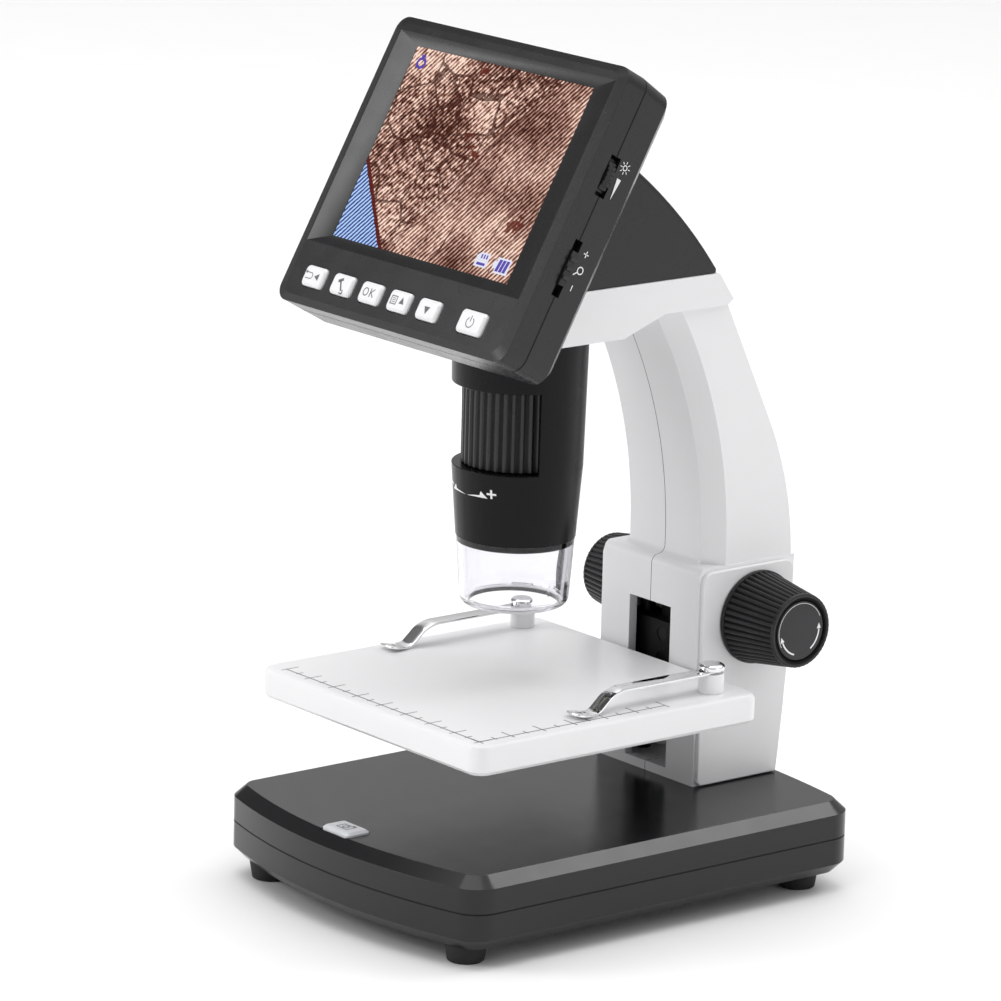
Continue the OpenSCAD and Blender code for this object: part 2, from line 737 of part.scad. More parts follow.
lens_r = 8.2;
hood_spigot = 3.6;
lens_len = barrel_len - hood_spigot - board_t - lens_top - lens_travel - 1.4;
hood_t = 1.3;
led_ring_r = 10.4;
led_r = 1.4;

// Depth of the front of the display's tilted back plane at height z
function behind_display(z) = disp_o[0] + (z - disp_o[1] - disp_back * cos(disp_tilt)) / tan(disp_tilt)
    - disp_back * sin(disp_tilt);

// Side outline of the white collar, moved in by w
function collar_pts(w) = let (open = w > 0 ? 4 : 0) [
    [behind_display(head_z + w) - open, head_z + w], [barrel_y + 17.5, head_z + w],
    [barrel_y + 31 - w * 0.3, arm_top + w], [arm_back_y - 0.6 - w, arm_top + w],
    [arm_back_y + 1.2 - w, collar_rear],
    [arm_back_y - head_step - w, collar_top + open], [behind_display(collar_top + open) - open, collar_top + open]
];

// Side outline of the black cap, moved in by w on its rounded back alone
function cap_pts(w, open) = let (
        a = [disp_o[0] - disp_back * sin(disp_tilt), disp_o[1] + disp_back * cos(disp_tilt)] - roof,
        d = [cos(disp_tilt), sin(disp_tilt)],
        r = roof_r - w,
        b = a * d,
        top = a + d * (sqrt(b * b - a * a + r * r) - b),
        low = asin((collar_top + 1 - roof[1]) / r),
        foot = collar_top - open
    ) concat(
        [[behind_display(foot) - open, foot]],
        open > 0 ? [roof + top - [open, 0]] : [],
        arc(roof[0], roof[1], r, atan2(top[1], top[0]), low, 16),
        [[arm_back_y - head_step - w, foot]]
    );

module head_collar() {
    color(white) difference() {
        across(collar_half_w) polygon(collar_pts(0));
        across(collar_half_w - wall) polygon(collar_pts(wall));
        translate([0, barrel_y, head_z - 1]) {
            cylinder(r = barrel_hole_r, h = 8);
            for (a = [90, 210, 330]) rotate(a) translate([barrel_screw_ring, 0, 0])
                cylinder(r = barrel_screw_r + fit, h = 8);
        }
        translate([0, head_screw_y[0] + 5, arm_top - 1]) cylinder(r = cable_r, h = 8);
        for (p = head_screw_xy) translate([p[0], p[1], arm_top - 1]) cylinder(r = head_screw_r + fit, h = 8);
    }
}

module head_cap() {
    color(black) difference() {
        hull() {
            across(cap_half_w) polygon(cap_pts(cap_edge_r, 0));
            across(cap_half_w - 0.3 * cap_edge_r) polygon(cap_pts(0.3 * cap_edge_r, 0));
            across(cap_half_w - cap_edge_r) polygon(cap_pts(0, 0));
        }
        across(cap_half_w - wall) polygon(cap_pts(wall, 4));
    }
}

module head_screws() {
    color(steel) for (p = head_screw_xy) translate([p[0], p[1], arm_top + wall]) rotate([180, 0, 0])
        screw(head_screw_r, wall + arm_plate_t - 0.4, 2.8, 1.6);
}

module on_barrel(depth) { translate([0, barrel_y, head_z - depth]) children(); }

module barrel_shell() {
    side_r = barrel_r - 0.25;
    ring_r = barrel_r - 0.65;
    bay_r = ring_r - 1.55;
    foot_r = barrel_tip_r - barrel_wall;
    color(black) on_barrel(0) difference() {
        rotate_extrude() polygon([
            [barrel_hole_r, 0], [barrel_r, 0], [side_r, -window_top], [ring_r, -window_low],
            [barrel_tip_r, -barrel_len], [foot_r, -barrel_len], [foot_r, -window_low - lip_t],
            [lip_r, -window_low - lip_t], [lip_r, -window_low], [bay_r, -window_low], [bay_r, -window_top],
            [lip_r, -window_top], [lip_r, lip_t - window_top], [bay_r, lip_t - window_top],
            [bay_r, -barrel_plate_t], [barrel_hole_r, -barrel_plate_t]
        ]);
        translate([0, 0, -window_low]) linear_extrude(wheel_window_h)
            polygon(concat([[0, 0]], arc(0, 0, 40, -90 - wheel_window_half, -90 + wheel_window_half, 12)));
        for (a = [90, 210, 330]) rotate(a) translate([barrel_screw_ring, 0, -barrel_plate_t - 1])
            cylinder(r = barrel_screw_r + fit, h = barrel_plate_t + 2);
    }
}

module barrel_screws() {
    color(steel) on_barrel(-wall) for (a = [90, 210, 330]) rotate(a) translate([barrel_screw_ring, 0, 0])
        rotate([180, 0, 0]) screw(barrel_screw_r, wall + barrel_plate_t - 0.4, 2.3, 1.4);
}

module focus_wheel() {
    gap = 0.3;
    color(black) on_barrel(window_low - gap) difference() {
        linear_extrude(wheel_window_h - 2 * gap) polygon([for (i = [0:4 * wheel_ribs - 1])
            let (a = 90 * i / wheel_ribs, r = wheel_r - (i % 4 < 2 ? 0 : 0.6)) [r * cos(a), r * sin(a)]]);
        translate([0, 0, -1]) cylinder(r = lens_bore_r, h = wheel_window_h + 2);
    }
}

module lens_cell() {
    color(steel) on_barrel(lens_top + lens_len) difference() {
        cylinder(r = lens_bore_r - 2 * fit, h = lens_len);
        translate([0, 0, 1.5]) cylinder(r = lens_r, h = lens_len);
        translate([0, 0, -1]) cylinder(r = lens_r - 2, h = 4);
    }
}

module objective_lens() {
    color("lightcyan") on_barrel(lens_top + lens_len - 1.5) cylinder(r = lens_r - fit, h = 3.6);
}

module sensor_board() {
    on_barrel(barrel_plate_t + board_t) {
        color(board_green) cylinder(r = 12, h = board_t);
        color("black") translate([-4.5, -4.5, -1.2]) cube([9, 9, 1.3]);
    }
}

module led_board() {
    color(board_green) on_barrel(barrel_len - hood_spigot) difference() {
        cylinder(r = barrel_tip_r - barrel_wall - 2 * fit, h = board_t);
        translate([0, 0, -1]) cylinder(r = led_ring_r - 1.9, h = 4);
    }
}

module leds() {
    color("lightyellow") on_barrel(barrel_len - hood_spigot + board_t) for (i = [0:7]) rotate(45 * i)
        translate([led_ring_r, 0, 0]) cylinder(r = led_r, h = board_t);
}

// Clear hood: a spigot in the barrel, a tapered skirt and a rounded open foot
module clear_hood() {
    top_r = barrel_tip_r - 0.2;
    low_r = top_r - 1.1;
    plug_r = barrel_tip_r - barrel_wall - fit;
    foot = hood_len - 2.4;
    color("lightcyan", 0.5) on_barrel(barrel_len) rotate_extrude() polygon(concat(
        [[plug_r - hood_t, hood_spigot], [plug_r, hood_spigot], [plug_r, 0], [top_r, 0]],
        arc(low_r - 2.4, -foot, 2.4, 0, -90, 6),
        arc(low_r - 2.4, -foot, 2.4 - hood_t, -90, 0, 4),
        [[top_r - hood_t, -1.6], [plug_r - hood_t, -0.4]]
    ));
}

// Display
disp_w = lcd_w + 2 * frame_side;
disp_h = lcd_h + frame_ends;
picture_rise = 6.25;                      // middle of the picture above the middle of the housing
disp_corner_r = 4;
disp_wall = 2.2;
ridge = [2.9, 1.9, 0.8];                  // bezel's edge chamfer: across, along and height
front_in = 1.6;                           // depth of the bezel's inner face
window = [lcd_w + 0.5, lcd_h + 0.5];
recess = [lcd_w + 15.9, lcd_h + 6.5];
sill = 0.25;                              // depth of the window's edge below the picture
panel = [lcd_w + 6.6, lcd_h + 5.4];
panel_t = 3;
disp_screw = [disp_w / 2 - 5, disp_h / 2 - 5];
disp_screw_r = 1.25;
key_u = -38.4;
key_top = 1.8;
key_flange_t = 1.2;
power_key_w = key_w + 1.4;
first_key = -33.3;
power_x = 30.8;
key_switch_n = -front_in - 0.1 - key_flange_t - key_travel - 0.15;
key_board_n = key_switch_n - switch_h - board_t;
main_board_n = -8.9;
main_board = [disp_w / 2 - 3.2, 42];
main_board_u = 3;
board_post = [disp_w / 2 - 16.4, 17];     // the main board's posts, out from its middle
key_post_x = disp_w / 2 - 10.4;
dial_r = 6;
dial_x = disp_w / 2 + 0.9 - dial_r;
dial_u = 7.2;
dial_t = 2.4;
zoom_u = -17.5;
zoom_slot = 15;
zoom_travel = 2.5;
usb_u = 12;
card_u = -6;
card_w = 26;
card_len = 22;

module on_display(u, n) {
    translate([0, disp_o[0], disp_o[1]]) rotate([disp_tilt, 0, 0]) translate([0, u, n]) children();
}

// A ring of the display's outline at height n, moved in by x and y, and down by low
function disp_ring(n, x = 0, y = 0, low = 0) = [n,
    rounded_pts(disp_w - 2 * x, disp_h - 2 * y, disp_corner_r - min(x, y) / 2, -picture_rise - low)];

// A ring of the sloping recess round the picture at height n
function recess_ring(n) = let (s = (window + (recess - window) * (n + sill) / (ridge[2] + sill)) / 2)
    [n, [[s[0], s[1]], [-s[0], s[1]], [-s[0], -s[1]], [s[0], -s[1]]]];

module disp_cavity(n0, n1) {
    translate([0, -picture_rise, n0]) linear_extrude(n1 - n0)
        rounded(disp_w - 2 * disp_wall, disp_h - 2 * disp_wall, disp_corner_r - 1.5);
}

module at_disp_screws() {
    for (sx = [-1, 1], sy = [-1, 1])
        translate([sx * disp_screw[0], sy * disp_screw[1] - picture_rise, 0]) children();
}

module key_place(i) { translate([i < 5 ? first_key + i * key_pitch : power_x, key_u, 0]) children(); }

function key_size(i) = i < 5 ? [key_w, key_h] : [power_key_w, key_h + 0.6];

// Slots in the display's right side for the dial and the zoom switch, and in its left side for the sockets
module side_slots() {
    seam_n = -bezel_t;
    translate([dial_x, dial_u - 5.4, seam_n - 1.7]) cube([20, 10.8, 3.4]);
    translate([disp_w / 2 - disp_wall - 0.5, zoom_u - zoom_slot / 2, seam_n - 1.3])
        cube([5, zoom_slot, 2.6]);
    translate([-disp_w / 2 - 1, usb_u - 4.8, main_board_n - 0.1]) cube([disp_wall + 2, 9.6, 3.5]);
    translate([-disp_w / 2 - 1, card_u - card_w / 2 + 0.4, main_board_n + 0.2])
        cube([disp_wall + 2, card_w - 0.8, 2.6]);
}

module display_bezel() {
    color(black) on_display(0, 0) difference() {
        loft([disp_ring(-bezel_t), disp_ring(0), disp_ring(ridge[2], ridge[0], ridge[1])]);
        difference() {
            disp_cavity(-bezel_t - 1, -front_in);
            at_disp_screws() translate([0, 0, -bezel_t - 2]) cylinder(r = 2.4, h = bezel_t + 2);
        }
        at_disp_screws() translate([0, 0, -bezel_t - 1]) cylinder(r = disp_screw_r + fit, h = bezel_t - 1.6);
        translate([0, 0, -front_in - 1]) linear_extrude(4) square(window, center = true);
        loft([recess_ring(-0.6), recess_ring(ridge[2] + 0.4)]);
        for (i = [0:5]) key_place(i) translate([0, 0, -front_in - 1]) linear_extrude(4)
            rounded(key_size(i)[0] + 2 * seat, key_size(i)[1] + 2 * seat, 1.4);
        side_slots();
    }
}

module display_rear_shell() {
    inner = disp_back + wall;
    color(black) on_display(0, 0) difference() {
        loft([
            disp_ring(disp_back, 2.6, 3, 0.5), disp_ring(disp_back + 2.5, 0.3, 0.5, 0.5), disp_ring(-bezel_t)
        ]);
        difference() {
            disp_cavity(inner, -bezel_t + 1);
            at_disp_screws() translate([0, 0, inner - 1]) cylinder(r = 2.4, h = rear_t);
            for (x = [-key_post_x, 0, key_post_x]) translate([x, key_u, inner - 1])
                cylinder(r = 2, h = key_board_n - inner + 1);
            for (sx = [-1, 1], sy = [-1, 1])
                translate([sx * board_post[0], main_board_u + sy * board_post[1], inner - 1])
                    cylinder(r = 2, h = main_board_n - board_t - inner + 1);
        }
        at_disp_screws() translate([0, 0, disp_back - 1]) {
            cylinder(r = disp_screw_r + fit, h = 20);
            cylinder(r = 2.5, h = 2.8);
        }
        translate([-8, -30, disp_back - 1]) cube([16, 8, 5]);
        side_slots();
    }
}

module display_screws() {
    color(steel) on_display(0, disp_back + 1.8) at_disp_screws()
        screw(disp_screw_r, -disp_back - 5.2, 2.3, 1.4);
}

module lcd_panel() {
    color("sienna") on_display(0, 0) {
        translate([0, 0, -front_in - panel_t]) linear_extrude(panel_t) square(panel, center = true);
        translate([0, 0, -front_in - eps]) linear_extrude(front_in - 0.35 + eps)
            square([lcd_w + 0.3, lcd_h + 0.3], center = true);
    }
}

module key_board() {
    on_display(0, key_board_n) {
        color(board_green) translate([0, key_u, 0])
            linear_extrude(board_t) square([disp_w - 18.8, 8], center = true);
        color(steel) for (i = [0:5]) key_place(i)
            translate([0, 0, board_t]) linear_extrude(switch_h) square(4, center = true);
    }
}

// The main board with the dial's pivot
module main_board() {
    on_display(main_board_u, main_board_n - board_t) {
        color(board_green) linear_extrude(board_t) square([2 * main_board[0], main_board[1]], center = true);
        color("black") translate([-12, -9, board_t]) cube([16, 16, 1.4]);
        color(steel) translate([dial_x, dial_u - main_board_u, board_t]) cylinder(r = 1.2, h = 3.6);
    }
}

module battery_pack() {
    color("steelblue") on_display(-2, disp_back - 6.3) linear_extrude(6.3) square([30, 26], center = true);
}

module usb_socket() {
    color(steel) on_display(usb_u, main_board_n) translate([-disp_w / 2 + 0.4, 0, 0]) difference() {
        translate([0, -4.5, 0]) cube([7.4, 9, 3.2]);
        translate([-1, -4.1, 0.4]) cube([7.4, 8.2, 2.4]);
    }
}

module card_socket() {
    color(steel) on_display(card_u, main_board_n)
        translate([-disp_w / 2 + disp_wall + 0.2, 0, 0]) difference() {
            translate([0, -card_w / 2, 0]) cube([card_len, card_w, 2.6]);
            translate([-1, 0.8 - card_w / 2, 0.4]) cube([card_len - 1, card_w - 1.6, 1.8]);
        }
}

module brightness_wheel() {
    ribs = 30;
    color(black) on_display(dial_u, -bezel_t - dial_t / 2) translate([dial_x, 0, 0]) difference() {
        linear_extrude(dial_t) polygon([for (i = [0:4 * ribs - 1])
            let (a = 90 * i / ribs, r = dial_r - (i % 4 < 2 ? 0 : 0.3)) [r * cos(a), r * sin(a)]]);
        translate([0, 0, -1]) cylinder(r = 1.2 + fit, h = dial_t + 2);
    }
}

// A slide in the right side: a thumb piece through the slot and a wider slider behind the wall
module zoom_switch() {
    thumb = zoom_slot - 2 * zoom_travel - 1;
    inside = disp_w / 2 - disp_wall - 0.2;
    color(white) on_display(zoom_u, -bezel_t) {
        translate([inside - 1.6, -thumb / 2 - 3.5, -1.9]) cube([1.6, thumb + 7, 3.8]);
        translate([inside - 0.5, -thumb / 2, -1.1]) cube([disp_wall + 1.4, thumb, 2.2]);
    }
}

module key(i) {
    w = key_size(i)[0];
    h = key_size(i)[1];
    color(white) on_display(0, 0) key_place(i) {
        loft([
            [-front_in - 0.3, rounded_pts(w, h, 1.2)], [key_top - 0.6, rounded_pts(w, h, 1.2)],
            [key_top, rounded_pts(w - 1.4, h - 1.4, 0.8)]
        ]);
        translate([0, 0, -front_in - 0.1 - key_flange_t]) linear_extrude(key_flange_t)
            rounded(w + 1.6, h + 1.6, 1.4);
    }
}

module key_back() { key(0); }
module key_tool() { key(1); }
module key_select() { key(2); }
module key_up() { key(3); }
module key_down() { key(4); }
module key_power() { key(5); }

base_upper_shell();
base_lower_shell();
ballast_plate();
rubber_feet();
base_screws();
snap_board();
snap_button();
column_left();
column_right();
side_cover_left();
side_cover_right();
column_screws();
guide_rods();
rod_bracket();
shaft_bushes();
carriage();
rack();
rack_screws();
stage_plate();
stage_screws();
clip_posts();
clip_left();
clip_right();
clip_cap_left();
clip_cap_right();
focus_shaft();
pinion();
shaft_collars();
friction_washers();
knob_left();
knob_right();
head_collar();
head_cap();
head_screws();
barrel_shell();
barrel_screws();
focus_wheel();
lens_cell();
objective_lens();
sensor_board();
led_board();
leds();
clear_hood();
display_bezel();
display_rear_shell();
display_screws();
lcd_panel();
key_board();
main_board();
battery_pack();
usb_socket();
card_socket();
brightness_wheel();
zoom_switch();
key_back();
key_tool();
key_select();
key_up();
key_down();
key_power();
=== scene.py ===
import json
import math

import bmesh
import bpy
from mathutils import Matrix, Vector

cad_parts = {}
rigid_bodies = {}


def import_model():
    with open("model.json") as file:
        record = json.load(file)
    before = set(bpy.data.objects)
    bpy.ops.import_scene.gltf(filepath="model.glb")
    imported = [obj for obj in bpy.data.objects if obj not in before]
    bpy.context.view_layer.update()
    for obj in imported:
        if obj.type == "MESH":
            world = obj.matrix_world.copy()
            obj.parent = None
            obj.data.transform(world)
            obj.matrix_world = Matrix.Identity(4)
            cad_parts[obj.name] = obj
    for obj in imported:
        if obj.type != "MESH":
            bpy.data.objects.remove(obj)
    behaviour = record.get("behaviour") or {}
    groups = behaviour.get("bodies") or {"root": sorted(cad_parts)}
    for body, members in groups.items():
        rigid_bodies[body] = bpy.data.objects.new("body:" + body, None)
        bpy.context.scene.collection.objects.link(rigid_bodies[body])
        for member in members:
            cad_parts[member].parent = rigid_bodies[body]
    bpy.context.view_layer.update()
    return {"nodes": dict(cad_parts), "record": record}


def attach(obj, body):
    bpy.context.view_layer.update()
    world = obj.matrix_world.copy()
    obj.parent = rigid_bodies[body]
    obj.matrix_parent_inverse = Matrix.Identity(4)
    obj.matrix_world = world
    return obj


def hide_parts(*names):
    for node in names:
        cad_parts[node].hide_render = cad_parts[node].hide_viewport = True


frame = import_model()
MM = 0.001

# Places are in millimetres: the middle of the display's front, the barrel's foot and the focus shaft's middle
DISPLAY = Vector((0, -30.283, 192.8))
BARREL = Vector((0, -9.4826, 0))
SHAFT = Vector((0, 55.1, 67.9))
BASE_SEAM = 14.8
STAGE_TOP = 56.3

ACROSS = Vector((1, 0, 0))
BACKWARD = Vector((0, 1, 0))
UPRIGHT = Vector((0, 0, 1))

# The display's face rises from the level at this angle, which gives its directions up and out
RISE = math.radians(60.8)
UPWARD = Vector((0, math.cos(RISE), math.sin(RISE)))
OUTWARD = Vector((0, -math.sin(RISE), math.cos(RISE)))

# Brightness of the painted shade along a moulding's seam against its surface, and how far handling changes
# the roughness
SEAM_PAINTED_SHADE = 0.04
HAZE = 0.02


# ---------------------------------------------------------------- camera and studio

def look_from(azimuth, elevation, roll, place, lens):
    """Long-lens camera that looks down on the right front corner of the base, with its angles in degrees."""
    azimuth, elevation, roll = math.radians(azimuth), math.radians(elevation), math.radians(roll)
    back = Vector((math.sin(azimuth) * math.cos(elevation), -math.cos(azimuth) * math.cos(elevation),
                   math.sin(elevation)))
    level = UPRIGHT.cross(back).normalized()
    upright = back.cross(level)
    right = math.cos(roll) * level + math.sin(roll) * upright
    up = math.cos(roll) * upright - math.sin(roll) * level
    data = bpy.data.cameras.new("camera")
    data.lens = lens
    data.sensor_width = 36
    data.clip_end = 20
    camera = bpy.data.objects.new("camera", data)
    camera.matrix_world = Matrix.Translation(place) @ Matrix((right, up, back)).transposed().to_4x4()
    bpy.context.scene.collection.objects.link(camera)
    bpy.context.scene.camera = camera


def softbox(name, place, aim, size, power):
    """Rectangular lamp of that size in metres and power in watts."""
    data = bpy.data.lights.new(name, "AREA")
    data.shape = "RECTANGLE"
    data.size, data.size_y = size
    data.energy = power
    lamp = bpy.data.objects.new(name, data)
    lamp.location = place
    lamp.rotation_euler = (Vector(aim) - Vector(place)).to_track_quat("-Z", "Y").to_euler()
    bpy.context.scene.collection.objects.link(lamp)


look_from(51.10, 13.87, 1.537, (1.1483, -0.9412, 0.4682), 214.81)
softbox("overhead_softbox", (-0.15, -0.1, 1.4), (0, 0, 0.1), (1.3, 1.3), 5.9)
softbox("left_softbox", (-1.0, -1.35, 0.9), (0, 0, 0.08), (0.7, 0.8), 9)
softbox("rear_softbox", (0.32, 0.92, 1.1), (0, 0, 0.05), (0.55, 0.4), 3.3)
softbox("right_softbox", (1.5, 0.35, 0.25), (0, 0, 0.08), (0.7, 0.7), 1.4)
bpy.context.scene.view_settings.view_transform = "Standard"

# Direction of the window
WINDOW = (-0.62, -0.74, 0.26)

# Direction of each dark card, the cosines of the angles between which its soft edge lies, and how much of the
# light is left outside and inside it
CARDS = (
    ((0.756, -0.61, 0.24), 0.70, 0.95, 1, 0.1),
    ((-0.27, -0.79, 0.54), 0.90, 0.985, 1, 0.15),
    ((-0.85, -0.2, 0.50), 0.80, 0.95, 1, 0.12),
    ((-0.756, 0.61, 0.24), 0.75, 0.97, 1, 0.62),
    ((0.1, 1, 0.1), 0.45, 0.95, 1, 0.7),
)


def paper_room(horizon, zenith, shaded, lit):
    """White paper all round, dimmer at the horizon and away from the window, with dark cards hung in it."""
    world = bpy.data.worlds.new("paper_room")
    world.use_nodes = True
    nodes, links = world.node_tree.nodes, world.node_tree.links
    place = nodes.new("ShaderNodeTexCoord")

    def towards(direction, low, high, start, end):
        """Start up to the cosine low of the angle to the direction, and end from the cosine high."""
        facing = nodes.new("ShaderNodeVectorMath")
        facing.operation = "DOT_PRODUCT"
        facing.inputs[1].default_value = Vector(direction).normalized()
        change = nodes.new("ShaderNodeMapRange")
        change.interpolation_type = "SMOOTHSTEP"
        for word, value in (("From Min", low), ("From Max", high), ("To Min", start), ("To Max", end)):
            change.inputs[word].default_value = value
        links.new(place.outputs["Generated"], facing.inputs[0])
        links.new(facing.outputs["Value"], change.inputs["Value"])
        return change.outputs[0]

    light = towards((0, 0, 1), 0, 0.7, horizon, zenith)
    for factor in (towards(WINDOW, -1, 1, shaded, lit), *(towards(*card) for card in CARDS)):
        product = nodes.new("ShaderNodeMath")
        product.operation = "MULTIPLY"
        links.new(light, product.inputs[0])
        links.new(factor, product.inputs[1])
        light = product.outputs[0]
    links.new(light, nodes["Background"].inputs["Color"])
    bpy.context.scene.world = world


paper_room(0.95, 1.34, 0.78, 1.22)


# ---------------------------------------------------------------- finishes

class Link:
    """An output of a finish's nodes, which can stand in sums with numbers and other links."""

    def __init__(self, finish, socket):
        self.finish = finish
        self.socket = socket

    def maths(self, operation, *values):
        return self.finish.node("Math", {"operation": operation}, dict(enumerate(values)))

    def __add__(self, other):
        return self.maths("ADD", self, other)

    def __radd__(self, other):
        return self.maths("ADD", other, self)

    def __sub__(self, other):
        return self.maths("SUBTRACT", self, other)

    def __rsub__(self, other):
        return self.maths("SUBTRACT", other, self)

    def __mul__(self, other):
        return self.maths("MULTIPLY", self, other)

    def __rmul__(self, other):
        return self.maths("MULTIPLY", other, self)

    def __truediv__(self, other):
        return self.maths("DIVIDE", self, other)

    def __lt__(self, other):
        return self.maths("LESS_THAN", self, other)

    def __gt__(self, other):
        return self.maths("GREATER_THAN", self, other)

    def __mod__(self, other):
        return self.maths("FLOORED_MODULO", self, other)

    def __abs__(self):
        return self.maths("ABSOLUTE", self)

    def __or__(self, other):
        return self.maths("MAXIMUM", self, other)

    def wave(self):
        return self.maths("SINE", self)


class Finish:
    """A material and its nodes."""

    def __init__(self, name, **fixed):
        self.material = bpy.data.materials.new(name)
        self.material.use_nodes = True
        self.tree = self.material.node_tree
        self.shader = self.tree.nodes["Principled BSDF"]
        for word, value in fixed.items():
            self.put(self.shader.inputs[word.replace("_", " ").title().replace("Ior", "IOR")], value)

    def put(self, socket, value):
        if isinstance(value, Link):
            self.tree.links.new(value.socket, socket)
        elif socket.type == "RGBA" and len(value) == 3:
            socket.default_value = (*value, 1)
        else:
            socket.default_value = value

    def node(self, kind, settings=(), sockets=(), output=0):
        node = self.tree.nodes.new("ShaderNode" + kind)
        for word, value in dict(settings).items():
            if word == "stops":
                ramp = node.color_ramp
                while len(ramp.elements) < len(value):
                    ramp.elements.new(1)
                for element, (place, colour) in zip(ramp.elements, value):
                    element.position = place
                    element.color = (*colour, 1)
            else:
                setattr(node, word, value)
        for place, value in dict(sockets).items():
            self.put(node.inputs[place], value)
        return Link(self, node.outputs[output])

    def place(self):
        """Where a point of the surface lies, in metres."""
        return self.node("TexCoord", output=3)

    def split(self, vector):
        return [self.node("SeparateXYZ", (), {0: vector}, axis) for axis in range(3)]

    def along(self, direction, origin):
        """Distance in millimetres from the origin along a direction."""
        offset = self.node("VectorMath", {"operation": "SUBTRACT"}, {0: self.place(), 1: origin * MM})
        return self.node("VectorMath", {"operation": "DOT_PRODUCT"}, {0: offset, 1: direction * 1000}, 1)

    def noise(self, size, detail=2, rough=0.5, stretch=None):
        """Soft noise from 0 to 1 whose blotches are about size millimetres across."""
        where = self.place()
        if stretch:
            where = self.node("VectorMath", {"operation": "MULTIPLY"}, {0: where, 1: stretch})
        return self.node("TexNoise", (), {"Vector": where, "Scale": 1000 / size, "Detail": detail,
                                          "Roughness": rough})

    def mix(self, factor, first, second):
        return self.node("Mix", {"data_type": "RGBA"}, {0: factor, 6: first, 7: second}, 2)

    def between(self, value, low, high, start=0, end=1):
        """Value carried from low..high to start..end and held there."""
        return self.node("MapRange", {"clamp": True}, {0: value, 1: low, 2: high, 3: start, 4: end})

    def bump(self, height, depth):
        """Relief whose full height is depth millimetres."""
        relief = self.node("Bump", (), {"Strength": 1, "Distance": depth * MM, "Height": height})
        self.put(self.shader.inputs["Normal"], relief)

    def colour(self, value):
        self.put(self.shader.inputs["Base Color"], value)

    def roughness(self, value):
        self.put(self.shader.inputs["Roughness"], value)


def shade(colour, factor):
    return tuple(min(1, part * factor) for part in colour)


def moulded(name, colour, roughness, grain=0.35, relief=0.004, mottle=0.03, seams=(), **fixed):
    """Moulded plastic: a fine grain, a hint of flow and handling haze, and dark lines of painted shade where
    halves meet.

    A seam is a direction, the distance of its plane from the origin and half its width."""
    finish = Finish(name, **fixed)
    flow = finish.noise(20, 2)
    surface_colour = finish.mix(flow, shade(colour, 1 - mottle), shade(colour, 1 + mottle))
    surface_roughness = finish.between(finish.noise(8, 2), 0.3, 0.7, roughness - HAZE, roughness + HAZE)
    for direction, distance, half_width in seams:
        # Painted shade: the seam's band is coloured almost black, as shade would fall in the gap, and made
        # duller
        gap = abs(finish.along(direction, direction * distance)) < half_width
        surface_colour = finish.mix(gap, surface_colour, shade(colour, SEAM_PAINTED_SHADE))
        surface_roughness = surface_roughness + gap * 0.6
    finish.colour(surface_colour)
    finish.roughness(surface_roughness)
    finish.bump(finish.noise(grain, 1), relief)
    return finish


def ribbed(name, colour, roughness, axis, mask, top, slope, depth):
    """Ribbed plastic, duller towards the bottom of its grooves, where painted shade also darkens its colour.

    The mask leaves out the direction of the axis. The ribs' tops are top millimetres from the axis in the
    object's middle plane, and slope less for each millimetre to either side of it."""
    finish = Finish(name, specular_ior_level=0.4)
    offset = finish.node("VectorMath", {"operation": "SUBTRACT"}, {0: finish.place(), 1: axis * MM})
    offset = finish.node("VectorMath", {"operation": "MULTIPLY"}, {0: offset, 1: Vector(mask) * 1000})
    reach = finish.node("VectorMath", {"operation": "LENGTH"}, {0: offset}, 1)
    below = top - abs(finish.along(ACROSS, axis)) * slope - reach
    deep = finish.between(below, 0.15 * depth, depth)
    # Painted shade: the colour darkens towards the bottom of the grooves, where real shade would fall
    finish.colour(finish.mix(deep, colour, shade(colour, 0.1)))
    finish.roughness(finish.between(deep, 0, 1, roughness, 0.95) + (finish.noise(8) - 0.5) * 0.08)
    finish.bump(finish.noise(0.35, 1), 0.004)
    return finish


def brushed(name, colour, roughness, stretch):
    """Metal with fine marks drawn out along one direction."""
    finish = Finish(name, metallic=1.0)
    marks = finish.noise(0.12, 3, 0.6, stretch)
    tarnish = finish.noise(6, 3)
    finish.colour(finish.mix(tarnish, shade(colour, 0.93), shade(colour, 1.04)))
    finish.roughness(finish.between(marks, 0.3, 0.7, roughness * 0.8, roughness * 1.3))
    finish.bump(marks, 0.003)
    return finish


# The seams given here are painted shade where the display's halves and the base's halves meet
black_case = moulded("black_case", (0.013, 0.013, 0.014), 0.27, specular_ior_level=0.4,
                     seams=[(OUTWARD, DISPLAY @ OUTWARD - 6.5, 0.22)])
black_base = moulded("black_base", (0.008, 0.008, 0.009), 0.22, specular_ior_level=0.4,
                     seams=[(UPRIGHT, BASE_SEAM, 0.22)])
black_barrel = moulded("black_barrel", (0.005, 0.005, 0.006), 0.26, specular_ior_level=0.15)
black_grip = moulded("black_grip", (0.011, 0.011, 0.012), 0.42, specular_ior_level=0.4)
# Both grips carry painted shade towards the bottom of their ribs' grooves
knob_grip = ribbed("knob_grip", (0.016, 0.016, 0.017), 0.36, SHAFT, (0, 1, 1), 15.32, 0.1437, 0.5)
wheel_grip = ribbed("wheel_grip", (0.018, 0.018, 0.019), 0.28, BARREL, (1, 1, 0), 14.35, 0, 0.6)
black_disc = moulded("black_disc", (0.022, 0.022, 0.024), 0.45, relief=0.008, specular_ior_level=0.4)
